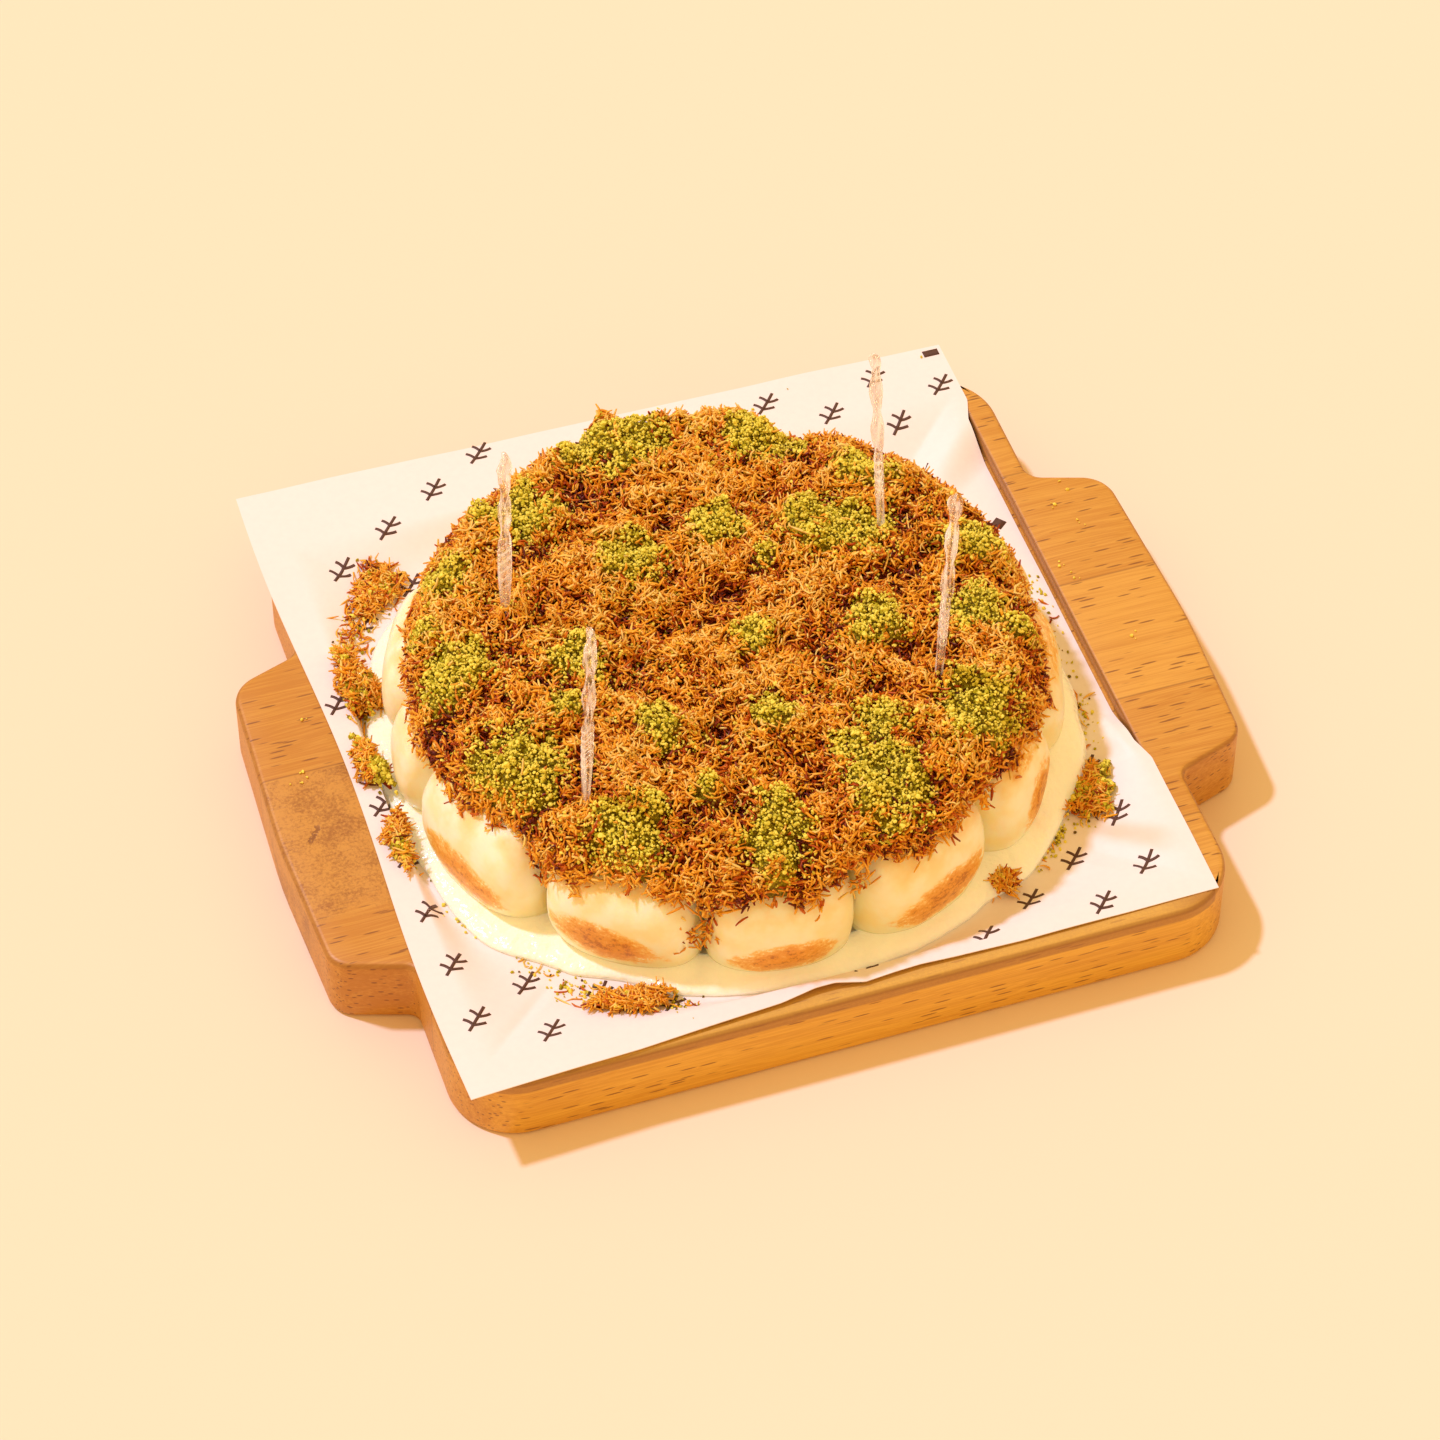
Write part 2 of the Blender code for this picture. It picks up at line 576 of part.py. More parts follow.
def main():
    clear_scene()
    kunafa = make_collection("kunafa")
    cream_cutters = make_collection("cream_cutters")
    sockets = make_collection("socket_cutters")
    make_board(kunafa, make_collection("recess_cutters"))
    make_paper(kunafa)
    buns = make_buns(kunafa, cream_cutters)
    make_core(kunafa)
    topping = make_topping(kunafa)
    make_clumps(kunafa, cream_cutters)
    make_cream(kunafa, cream_cutters)
    clear_plastic = make_material("clear_plastic", (0.95, 0.93, 0.88), 0.08, 0.9)
    for index, place in enumerate(PICKS):
        make_pick(index, place, kunafa, clear_plastic)
        socket = make_socket(index, place, sockets)
        cut(topping, socket)
        cut(buns[bun_holding(place)], socket)


main()
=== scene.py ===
import math

import bpy
import numpy as np
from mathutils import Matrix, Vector


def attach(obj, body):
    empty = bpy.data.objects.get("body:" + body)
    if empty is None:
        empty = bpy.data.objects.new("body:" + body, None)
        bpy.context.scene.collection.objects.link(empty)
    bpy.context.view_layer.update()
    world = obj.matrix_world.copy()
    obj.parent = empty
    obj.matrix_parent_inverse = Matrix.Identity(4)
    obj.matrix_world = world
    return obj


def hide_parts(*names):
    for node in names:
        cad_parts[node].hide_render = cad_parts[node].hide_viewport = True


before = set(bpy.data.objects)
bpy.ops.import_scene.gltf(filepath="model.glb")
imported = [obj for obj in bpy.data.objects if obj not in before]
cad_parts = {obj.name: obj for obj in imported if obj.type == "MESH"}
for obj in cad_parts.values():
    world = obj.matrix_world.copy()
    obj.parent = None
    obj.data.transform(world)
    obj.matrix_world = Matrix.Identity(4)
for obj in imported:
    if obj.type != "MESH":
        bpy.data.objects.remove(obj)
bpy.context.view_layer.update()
bpy.context.scene.view_settings.view_transform = "Standard"

mm = 0.001  # sizes are in millimetres here, and makePiece turns them into metres
rng = np.random.default_rng(11)


def hashed(cells, seed):
    # scrambles three whole numbers into 0 to 1
    mixed = (cells[..., 0] * 374761393 + cells[..., 1] * 668265263 + cells[..., 2] * 1274126177
             + seed * 144665)
    mixed = mixed & 0xFFFFFFFF
    mixed = ((mixed ^ (mixed >> 13)) * 1274126177) & 0xFFFFFFFF
    return (mixed ^ (mixed >> 16)) / 0xFFFFFFFF


def smoothNoise(points, size, seed=0):
    # random values at the corners of a grid, blended between them, -1 to 1
    scaled = np.asarray(points, float) / size
    cell = np.floor(scaled).astype(np.int64)
    part = scaled - cell
    part = part * part * (3 - 2 * part)
    total = 0
    for corner in range(8):
        step = np.array([corner & 1, corner >> 1 & 1, corner >> 2])
        total = total + np.prod(np.where(step, part, 1 - part), axis=-1) * hashed(cell + step, seed)
    return 2 * total - 1


def smoothStep(low, high, value):
    share = np.clip((value - low) / (high - low), 0, 1)
    return share * share * (3 - 2 * share)


def unit(vectors):
    return vectors / np.maximum(np.linalg.norm(vectors, axis=-1, keepdims=True), 1e-9)


def around(table, bearing):
    # reads a closed list of (bearing, value) at any bearing in degrees
    table = np.array(table, float)
    stops = np.concatenate([table[:, 0], [table[0, 0] + 360]])
    values = np.concatenate([table[:, 1], [table[0, 1]]])
    bearing = (bearing - stops[0]) % 360 + stops[0]
    spot = np.clip(np.searchsorted(stops, bearing, side="right") - 1, 0, len(table) - 1)
    share = (bearing - stops[spot]) / (stops[spot + 1] - stops[spot])
    share = share * share * (3 - 2 * share)
    return values[spot] + (values[spot + 1] - values[spot]) * share


def polar(radius, bearing, height):
    # bearing in radians round the cake's centre
    return np.stack(np.broadcast_arrays(centre[0] + radius * np.cos(bearing),
                                        centre[1] + radius * np.sin(bearing), height), axis=-1)


def rotation(degrees):
    # turns flat rows of x and y when they are multiplied by it
    turned = math.radians(degrees)
    return np.array([[math.cos(turned), math.sin(turned)], [-math.sin(turned), math.cos(turned)]])


def heading(bearing, rise):
    # ways along flat bearings in radians, with a rise
    return np.stack(np.broadcast_arrays(np.cos(bearing), np.sin(bearing), rise), axis=-1)


def fromCentre(points):
    across = points[..., :2] - centre[:2]
    return np.hypot(across[..., 0], across[..., 1]), np.arctan2(across[..., 1], across[..., 0])


def gridFaces(rows, columns, closed=False):
    # quads of a grid of points whose rows are closed rings; closed joins the last row to the first too
    row = np.arange(rows if closed else rows - 1)[:, None]
    column = np.arange(columns)[None, :]
    nextRow, nextColumn = (row + 1) % rows, (column + 1) % columns
    quads = np.broadcast_arrays(row * columns + column, row * columns + nextColumn,
                                nextRow * columns + nextColumn, nextRow * columns + column)
    return np.stack(quads, axis=-1).reshape(-1, 4)


def fan(ring, tip, flip=False):
    # triangles from a closed ring of points to one tip
    after = np.roll(ring, -1)
    tips = np.full(len(ring), tip)
    return np.stack([after, ring, tips] if flip else [ring, after, tips], axis=-1)


def closedFaces(rows, columns, inward=False):
    # a grid of closed rings, shut at both ends by fans to the two points that follow the grid
    ring, total = np.arange(columns), rows * columns
    faces = [gridFaces(rows, columns), fan(ring, total, flip=True), fan(total - columns + ring, total + 1)]
    return [part[:, ::-1] for part in faces] if inward else faces


def flatPoints(flat):
    # points in the plane at height 0
    return np.concatenate([flat, np.zeros(flat.shape[:-1] + (1,))], axis=-1)


def makePiece(name, points, faces, material, values=None, smooth=True):
    # faces is a list of arrays, each of one face size; values are numbers held by the points
    points = np.asarray(points, float).reshape(-1, 3)
    faces = [np.asarray(part) for part in faces if len(part)]
    corners = np.concatenate([part.ravel() for part in faces])
    sizes = np.concatenate([np.full(len(part), part.shape[1]) for part in faces])
    mesh = bpy.data.meshes.new(name)
    mesh.vertices.add(len(points))
    mesh.vertices.foreach_set("co", (points * mm).ravel())
    mesh.loops.add(len(corners))
    mesh.loops.foreach_set("vertex_index", corners)
    mesh.polygons.add(len(sizes))
    mesh.polygons.foreach_set("loop_start", np.concatenate([[0], np.cumsum(sizes)[:-1]]))
    mesh.polygons.foreach_set("use_smooth", np.full(len(sizes), smooth))
    for key, numbers in (values or {}).items():
        held = mesh.attributes.new(key, "FLOAT", "POINT")
        held.data.foreach_set("value", np.asarray(numbers, float).ravel())
    mesh.update(calc_edges=True)
    mesh.validate()
    mesh.materials.append(material)
    piece = bpy.data.objects.new(name, mesh)
    bpy.context.scene.collection.objects.link(piece)
    return piece


def place(piece, slot, *nodes):
    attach(piece, "root")
    if nodes:
        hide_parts(*nodes)


def placeMany(name, points, faces, material, tint, slot, smooth=True):
    # many small solids as one piece, each with one tint for all its points
    values = {"tint": np.repeat(tint, len(points) // len(tint))}
    place(makePiece(name, points, faces, material, values, smooth), slot)


class Field:
    # a shader socket that adds, scales and mixes like a number
    def __init__(self, tree, socket=None):
        self.tree, self.socket = tree, socket

    def node(self, kind, settings=None, inputs=None, output=0):
        made = self.tree.nodes.new(kind)
        for key, value in (settings or {}).items():
            setattr(made, key, value)
        for key, value in (inputs or {}).items():
            if isinstance(value, Field):
                self.tree.links.new(value.socket, made.inputs[key])
            else:
                made.inputs[key].default_value = value
        return Field(self.tree, made.outputs[output])

    def maths(self, operation, *values):
        return self.node("ShaderNodeMath", {"operation": operation}, dict(enumerate(values)))

    def vector(self, operation, *values):
        return self.node("ShaderNodeVectorMath", {"operation": operation}, dict(enumerate(values)))

    def __add__(self, other):
        return self.maths("ADD", self, other)

    def __sub__(self, other):
        return self.maths("SUBTRACT", self, other)

    def __rsub__(self, other):
        return self.maths("SUBTRACT", other, self)

    def __mul__(self, other):
        return self.maths("MULTIPLY", self, other)

    def __truediv__(self, other):
        return self.maths("DIVIDE", self, other)

    def __rtruediv__(self, other):
        return self.maths("DIVIDE", other, self)

    __radd__, __rmul__ = __add__, __mul__

    def step(self, low, high):
        # 0 below low and 1 above high, smooth between
        return self.node("ShaderNodeMapRange", {"interpolation_type": "SMOOTHSTEP"},
                         {"Value": self, "From Min": low, "From Max": high})

    def mix(self, first, second):
        # first where this is 0, second where it is 1
        first, second = [colour if isinstance(colour, Field) else (*colour, 1) for colour in (first, second)]
        return self.node("ShaderNodeMix", {"data_type": "RGBA"}, {0: self, 6: first, 7: second}, 2)

    def stretched(self, x, y, z):
        return self.vector("MULTIPLY", self, (x, y, z))

    def absolute(self):
        return self.maths("ABSOLUTE", self)

    def moved(self, x, y, z):
        # the same vector moved by three numbers or sockets
        return self.vector("ADD", self, self.node("ShaderNodeCombineXYZ", None, {0: x, 1: y, 2: z}))

    def part(self, axis):
        return self.node("ShaderNodeSeparateXYZ", None, {0: self}, axis)

    def noise(self, scale, detail, roughness=0.5):
        return self.node("ShaderNodeTexNoise", None, {"Vector": self, "Scale": scale, "Detail": detail,
                                                      "Roughness": roughness})

    def cells(self, scale):
        # distance to the middle of the nearest cell
        return self.node("ShaderNodeTexVoronoi", None, {"Vector": self, "Scale": scale})

    def value(self, name):
        return self.node("ShaderNodeAttribute", {"attribute_name": name}, None, 2)


def newMaterial(name, **settings):
    # the material's shader, and its place in the object in millimetres
    material = bpy.data.materials.new(name)
    material.use_nodes = True
    tree = material.node_tree
    shader = tree.nodes["Principled BSDF"]
    for key, value in settings.items():
        shader.inputs[key.replace("_", " ")].default_value = value
    where = Field(tree).node("ShaderNodeTexCoord", None, None, 3)
    return material, shader, where.stretched(1000, 1000, 1000)


def connect(shader, inputs, bump=None, strength=0, distance=0):
    tree = shader.id_data
    for key, value in inputs.items():
        if isinstance(value, Field):
            tree.links.new(value.socket, shader.inputs[key])
        else:
            shader.inputs[key].default_value = value
    if bump:
        normal = bump.node("ShaderNodeBump", None, {"Strength": strength, "Distance": distance * mm,
                                                    "Height": bump})
        tree.links.new(normal.socket, shader.inputs["Normal"])


board = {
    "halfX": 140, "halfY": 136, "thickness": 28, "cornerRadius": 24,
    "handleRootHalf": 76, "handleTipHalf": 67, "handleSideReach": 167, "handleMiddleReach": 170,
    "recessHalfX": 130, "recessHalfY": 126, "recessDepth": 6, "recessRadius": 2,
    "edgeRounding": 2.2, "staveWidth": 58, "seamOffset": 20,
    "light": (0.70, 0.355, 0.051), "dark": (0.53, 0.215, 0.020), "fleck": (0.22, 0.07, 0.009),
    "stain": (0.60, 0.28, 0.042), "stainDark": (0.33, 0.12, 0.014), "wall": (0.34, 0.135, 0.032),
    "crack": (-157, -9),
}


def roundedOutline(corners, step=4):
    # each corner (x, y, radius) becomes an arc that touches both of its sides
    points = []
    for index, (x, y, radius) in enumerate(corners):
        corner = np.array([x, y], float)
        back = unit(np.array(corners[index - 1][:2], float) - corner)
        ahead = unit(np.array(corners[(index + 1) % len(corners)][:2], float) - corner)
        half = math.acos(np.clip(back @ ahead, -1, 1)) / 2
        middle = corner + unit(back + ahead) * radius / math.sin(half)
        first = corner + back * radius / math.tan(half) - middle
        last = corner + ahead * radius / math.tan(half) - middle
        start = math.atan2(first[1], first[0])
        sweep = (math.atan2(last[1], last[0]) - start + math.pi) % (2 * math.pi) - math.pi
        turns = start + sweep * np.linspace(0, 1, max(2, round(abs(math.degrees(sweep)) / step)) + 1)
        points.append(middle + radius * np.stack([np.cos(turns), np.sin(turns)], axis=-1))
    return np.concatenate(points)


def evenly(outline, count):
    # the same closed outline with equally spaced points
    closed = np.concatenate([outline, outline[:1]])
    along = np.concatenate([[0], np.cumsum(np.linalg.norm(np.diff(closed, axis=0), axis=1))])
    stops = np.linspace(0, along[-1], count, endpoint=False)
    return np.stack([np.interp(stops, along, closed[:, axis]) for axis in range(2)], axis=-1)


def outwards(outline):
    # unit way out of a closed outline that runs anticlockwise
    along = unit(np.roll(outline, -1, axis=0) - np.roll(outline, 1, axis=0))
    return np.stack([along[:, 1], -along[:, 0]], axis=-1)


def makeBoard():
    b = board
    right = [(b["halfX"], -b["halfY"], b["cornerRadius"]), (b["halfX"], -b["handleRootHalf"], 5),
             (b["handleSideReach"], -b["handleTipHalf"], 10), (b["handleMiddleReach"], -8, 200),
             (b["handleSideReach"], b["handleTipHalf"], 13), (b["halfX"], b["handleRootHalf"], 7),
             (b["halfX"], b["halfY"], b["cornerRadius"])]
    left = [(-x, y, radius) for x, y, radius in reversed(right)]
    outer = evenly(roundedOutline(right + left), 1400)
    recess = [(b["recessHalfX"] * x, b["recessHalfY"] * y, b["recessRadius"])
              for x, y in [(1, -1), (1, 1), (-1, 1), (-1, -1)]]
    # the recess outline gets a point in the direction of each outer point
    inner = evenly(roundedOutline(recess), 6000)
    bearings = np.arctan2(inner[:, 1], inner[:, 0])
    order = np.argsort(bearings)
    wanted = np.arctan2(outer[:, 1], outer[:, 0])
    inner = np.stack([np.interp(wanted, bearings[order], inner[order, axis], period=2 * np.pi)
                      for axis in range(2)], axis=-1)
    out, into = outwards(outer), outwards(inner)
    r, top = b["edgeRounding"], b["thickness"]
    turns = np.radians(np.linspace(0, 90, 5))
    # each ring is the outline moved in and set at a height: from the underside's middle round the lower
    # edge (a quarter turn of radius r), up the side, round the upper edge, over the rim and into the recess
    rings = [(outer * 0.5, 0)]
    rings += [(outer - out * r * (1 - math.sin(t)), r * (1 - math.cos(t))) for t in turns]
    rings += [(outer, z) for z in np.linspace(r, top - r, 6)[1:-1]]
    rings += [(outer - out * r * (1 - math.cos(t)), top - r * (1 - math.sin(t))) for t in turns]
    rings += [(outer + (inner + into * 1.2 - outer) * share, top) for share in (0.3, 0.65, 1)]
    rings += [(inner + into * 0.4, top - 0.15), (inner, top - 0.7)]
    rings += [(inner, top - b["recessDepth"]), (inner * 0.5, top - b["recessDepth"])]
    points = np.concatenate([np.column_stack([flat, np.full(len(flat), z)]) for flat, z in rings])
    points = np.concatenate([points, [[0, 0, 0], [0, 0, top - b["recessDepth"]]]])
    piece = makePiece("beechBoard", points, closedFaces(len(rings), len(outer)), boardMaterial())
    piece.data.set_sharp_from_angle(angle=math.radians(50))
    place(piece, "beech", "board")


def boardMaterial():
    material, shader, where = newMaterial("boardWood", Roughness=0.48)
    x, y, z = where.part(0), where.part(1), where.part(2)
    # staves run along X, with a seam every staveWidth, and each has its own grain
    across = (y - board["seamOffset"]) / board["staveWidth"]
    stave = y.maths("FLOOR", across)
    seam = across - stave
    seam = (seam * (1 - seam)).step(0.0, 0.012)
    grain = where.moved(stave * 61.7, stave * 13.1, stave * 37.3)
    warp = grain.stretched(0.010, 0.05, 0.05).noise(1.0, 2)
    warped = grain.moved(0.0, warp * 9, warp * 5)
    bands = warped.stretched(0.006, 0.30, 0.30).noise(1.0, 4, 0.6)
    fine = warped.stretched(0.03, 1.5, 1.5).noise(1.0, 3, 0.65)
    # the short dark rays of beech
    dashes = grain.stretched(0.07, 0.62, 0.62).cells(1.0)
    sparse = grain.stretched(0.012, 0.05, 0.05).noise(1.0, 2).step(0.28, 0.45)
    dash = (1 - dashes.step(0.17, 0.27)) * sparse
    tone = y.maths("SINE", stave * 2.4 + 0.6) * 0.22 + 0.3 - x.step(-175.0, -60.0) * 0.3
    shade = bands.step(0.32, 0.70) * 0.45 + fine.step(0.40, 0.60) * 0.42 + tone
    colour = shade.mix(board["light"], board["dark"])
    colour = (dash * 0.8).mix(colour, board["fleck"])
    colour = ((1 - seam) * 0.55).mix(colour, board["fleck"])
    # the stained stave end on the left, with a small crack
    speckled = where.noise(0.9, 4, 0.75)
    mottled = where.noise(0.07, 3, 0.6)
    stained = (1 - x.step(-134.0, -92.0)) * (y + mottled * 24).step(-42.0, -26.0) * (1 - y.step(18.6, 20.0))
    stain = (speckled * 0.55 + mottled * 0.45).step(0.44, 0.62).mix(board["stain"], board["stainDark"])
    colour = (stained * 0.85).mix(colour, stain)
    crackX, crackY = x - board["crack"][0], y - board["crack"][1]
    alongCrack = crackX * 0.55 + crackY * 0.84
    offCrack = crackX * 0.84 - crackY * 0.55 + (where.noise(0.5, 2) - 0.5) * 6
    crack = (1 - offCrack.absolute().step(0.25, 0.8)) * (1 - alongCrack.absolute().step(3.0, 6.0))
    colour = (crack * 0.8).mix(colour, board["fleck"])
    # end grain down the recess walls, and a thin dark line round the upper edges: painted shade where they
    # round over
    edgeX, top = board["recessHalfX"], board["thickness"]
    wall = (1 - x.absolute().step(edgeX + 0.1, edgeX + 1.1)) * z.step(22.5, 23.5)
    colour = (wall * (speckled * 0.5 + 0.5)).mix(colour, board["wall"])
    # the front face and the rim above it are painted paler: painted light on the face that the key light
    # doesn't reach
    front = (1 - y.step(-134.0, -127.0)) * 0.8
    colour = front.mix(colour, colour.stretched(1.22, 1.36, 0.95))
    # and the band of rim that shows under the sheet's front edge paler still: painted light over the shade of
    # the sheet's lifted edge
    paintedRimLight = (1 - y.step(-130.0, -125.0)) * z.step(26.4, 27.4) * (1 - x.absolute().step(108.0, 128.0))
    colour = paintedRimLight.mix(colour, colour.stretched(1.35, 1.6, 1.8))
    edge = z.step(top - 2.3, top - 1.2) * (1 - z.step(top - 0.5, top - 0.1))
    colour = (edge * 0.4).mix(colour, board["fleck"])
    relief = fine * 0.5 - dash * 0.8 - crack * 1.5
    connect(shader, {"Base Color": colour, "Roughness": fine * 0.2 + 0.38}, relief, 0.25, 0.25)
    return material


paper = {
    "corners": [(-138, -137), (132, -130), (132, 151), (-141, 156)],
    "thickness": 0.35, "points": 800, "wave": 1.5, "rimInset": 0.8, "slope": 46, "foodRoom": 1,
    "lying": 0.6, "underFood": 0.2,  # heights of the sheet over the wood and of the food over the sheet
    "slippedMiddle": 26, "slippedHalf": 93.6, "slippedStep": 15.6, "slippedInset": 1.2, "fold": 3,
    "liftAt": [-138, -106, -78, -45, -28, -16, -9, 2, 13, 22, 35, 60, 100, 132],
    "lift": [0, 1.0, 1.6, 3.6, 4.6, 7.2, 7.0, 3.0, 3.9, 4.2, 3.0, 1.2, 0.3, 0], "laidBack": 0.7,
    "colour": (0.93, 0.83, 0.74), "ink": (0.075, 0.028, 0.014),
    "sprigTurn": 32, "sprigGap": (25, 22, 12), "stroke": 0.55, "clear": 112,
    # plain print marks: x, y, length, width, turn
    "marks": [(127.5, 147.6, 6, 3.2, 0), (129.3, -123.5, 5.5, 2.8, -30), (122.8, 61, 4.4, 4.4, 40)],
}


def recessReach(bearing):
    # distance from the cake's centre to the line where the paper starts down into the recess
    x, y = np.cos(bearing), np.sin(bearing)
    inX = (board["recessHalfX"] - paper["rimInset"] - np.sign(x) * centre[0]) / np.maximum(np.abs(x), 1e-6)
    inY = (board["recessHalfY"] - paper["rimInset"] - np.sign(y) * centre[1]) / np.maximum(np.abs(y), 1e-6)
    return np.minimum(inX, inY)


def paperFoot(bearing):
    return np.maximum(creamSpread(bearing) + paper["foodRoom"], recessReach(bearing) - paper["slope"])


def foodFloor():
    return board["thickness"] - board["recessDepth"] + paper["lying"] + paper["underFood"]


def paperHeight(points):
    # the recess's floor out to the foot, then an eased slope up by the recess's depth to the rim
    radius, bearing = fromCentre(points)
    foot = paperFoot(bearing)
    return foodFloor() + board["recessDepth"] * smoothStep(foot, recessReach(bearing), radius)


def slip(y):
    # how far the sheet has slid off the right rim at y: drawn inwards first, then sunk into the recess
    within = paper["slippedHalf"] - np.abs(y - paper["slippedMiddle"])
    slipped = np.clip(within / paper["slippedStep"], 0, 2)
    return np.clip(slipped * 1.6, 0, 1), smoothStep(0.62, 2, slipped)


def hasSlipped(y):
    return np.abs(y - paper["slippedMiddle"]) < paper["slippedHalf"] - 5


def paperTop(points):
    # the sheet's upper side. Towards the right its height shrinks with the slip where the ray from the
    # cake's centre through the point meets the rim
    flat = points[..., :2] - centre[:2]
    rimY = centre[1] + (board["recessHalfX"] - centre[0]) * flat[..., 1] / np.maximum(flat[..., 0], 1)
    sunk = np.where(flat[..., 0] > 1, slip(rimY)[1], 0)
    low = foodFloor()
    return low + (paperHeight(points) - low) * (1 - sunk) - paper["underFood"] + sheetWaves(points)


def sheetWaves(points):
    # faint waves in the sheet, none under the food
    radius, bearing = fromCentre(points)
    loose = smoothStep(0, 20, radius - paperFoot(bearing))
    return loose * (0.35 * smoothNoise(points * [1, 1, 0], 26, 3) + 0.1)


def makePaper():
    # rings of points shared out along lines from the middle to the foot, to the rim and to the sheet's edge.
    # The height is straight along each line, but eased between foot and rim; the underside is a copy below
    corners = np.array(paper["corners"], float)
    perSide = paper["points"] // 4
    share = np.arange(perSide) / perSide
    edge, side = [], []
    for index in range(4):
        line = corners[index] + (corners[(index + 1) % 4] - corners[index]) * share[:, None]
        if index == 3:
            line[:, 0] -= paper["wave"] * np.sin(9 * (1 - share))
        edge.append(line)
        side.append(np.full(perSide, index))
    edge, side = np.concatenate(edge), np.concatenate(side)
    bearing = np.arctan2(edge[:, 1] - centre[1], edge[:, 0] - centre[0])
    high = board["thickness"] + paper["lying"]
    low = high - board["recessDepth"]
    foot = polar(paperFoot(bearing), bearing, low)
    rim = polar(recessReach(bearing), bearing, high)
    outer = np.column_stack([edge, np.full(len(edge), high)])
    # the front edge is partly lifted and partly drawn back over the rim
    lift = np.where(side == 0, np.interp(edge[:, 0], paper["liftAt"], paper["lift"]), 0)
    outer += (lift * paper["laidBack"])[:, None] * [0.278, 0.838, -1] + lift[:, None] * [0, 0, 1]
    # on the right the sheet has slipped off the rim
    drawn, sunk = slip(edge[:, 1])
    drawn, sunk = drawn * (side == 1), sunk * (side == 1)
    edgeX = board["recessHalfX"] - paper["slippedInset"]
    outer[:, 0] += (edgeX - outer[:, 0]) * drawn
    rim[:, 0] += (edgeX - paper["fold"] - rim[:, 0]) * drawn
    outer[:, 2] -= board["recessDepth"] * sunk
    rim[:, 2] -= board["recessDepth"] * sunk
    inside = polar(60, bearing, low)
    rings = []
    for start, end, steps, curve in [(inside, foot, 10, 0), (foot, rim, 22, 1), (rim, outer, 18, 0)]:
        for step in range(steps):
            t = step / steps
            eased = t * t * (3 - 2 * t)
            ring = start + (end - start) * t
            ring[:, 2] = start[:, 2] + (end[:, 2] - start[:, 2]) * (t * (1 - curve) + eased * curve)
            rings.append(ring)
    rings.append(outer)
    top = np.array(rings)
    top[..., 2] += sheetWaves(top)
    bottom = top[::-1] - [0, 0, paper["thickness"]]
    points = np.concatenate([top, bottom])
    tips = [[*centre[:2], low], [*centre[:2], low - paper["thickness"]]]
    faces = closedFaces(len(points), len(bearing), inward=True)
    points = np.concatenate([points.reshape(-1, 3), tips])
    material, shader, where = newMaterial("greaseproof", Roughness=0.5, IOR=1.45)
    fibre = where.noise(0.35, 4, 0.6)
    sheen = where.noise(0.03, 2)
    darker = tuple(0.95 * value for value in paper["colour"])
    colour = (fibre.step(0.3, 0.7) * 0.5).mix(paper["colour"], darker)
    connect(shader, {"Base Color": colour, "Roughness": sheen * 0.2 + 0.42}, fibre, 0.08, 0.2)
    piece = makePiece("paperSheet", points, faces, material)
    piece.data.set_sharp_from_angle(angle=math.radians(60))
    place(piece, "greaseproof", "paper")


def makePrint():
    # small sprigs, each a bent stem with two pairs of leaf strokes, and plain marks at the sheet's edges
    material, shader, where = newMaterial("printInk", Roughness=0.6)
    paler = tuple(1.5 * value for value in paper["ink"])
    connect(shader, {"Base Color": where.noise(0.4, 2).mix(paper["ink"], paler)})
    strokes = [[(-5.5, -1.5), (-1, -0.4), (6, 2.2)], [(-2.6, -0.9), (-2.2, 1.4), (-3.2, 3.4)],
               [(-2.6, -0.9), (-0.4, -2.6), (1.2, -3.2)], [(1.4, 0.3), (2.0, 2.6), (1.2, 4.4)],
               [(1.4, 0.3), (3.4, -1.2), (5.2, -1.4)]]
    t = np.linspace(0, 1, 12)[:, None]
    curves = [(1 - t) ** 2 * np.array(a) + 2 * t * (1 - t) * np.array(b) + t * t * np.array(c)
              for a, b, c in strokes]
    wide, high, shift = paper["sprigGap"]
    lines = []
    for row in range(-7, 8):
        for column in range(-7, 8):
            x, y = np.array([column * wide + (row % 2) * shift, row * high]) @ rotation(paper["sprigTurn"])
            onSheet = -136 < x < 130 and -133 < y < 151
            if not onSheet or math.hypot(x - centre[0], y - centre[1]) < paper["clear"]:
                continue
            spin = rotation(paper["sprigTurn"] + rng.uniform(-3, 3))
            sprig = [curve @ spin + [x, y] for curve in curves]
            ends = np.concatenate(sprig)
            right = np.where(hasSlipped(ends[:, 1]), 125.5, 131)
            if ((ends[:, 0] < right) & (ends[:, 0] > -138) & (ends[:, 1] > -131)).all():
                lines += [(curve, paper["stroke"]) for curve in sprig]
    for x, y, long, wide, turned in paper["marks"]:
        lines.append((np.array([x, y]) + rotation(turned)[0] * (t - 0.5) * long, wide / 2))
    parts = []
    for line, half in lines:
        ahead = unit(np.gradient(line, axis=0))
        side = np.stack([-ahead[:, 1], ahead[:, 0]], axis=-1) * half
        flat = np.stack([line - side, line + side], axis=1)
        right = np.where(hasSlipped(flat[..., 1]), 126.5, 131.6)
        if ((flat[..., 0] > -139) & (flat[..., 0] < right)).all():
            parts.append(flat)
    points = flatPoints(np.array(parts))
    points[..., 2] = paperTop(points) + 0.12
    low = points - [0, 0, 0.1]
    ring = np.concatenate([points, low[:, :, ::-1]], axis=2)
    # each stroke is a bar of 12 rings of 4 points, closed by a quad at both ends
    start = np.arange(len(ring))[:, None, None] * 48
    caps = np.concatenate([start + np.array([[3, 2, 1, 0]]), start + np.array([[44, 45, 46, 47]])])
    faces = [(start + gridFaces(12, 4)).reshape(-1, 4)[:, ::-1], caps.reshape(-1, 4)[:, ::-1]]
    place(makePiece("paperPrint", ring, faces, material), "greaseproof")


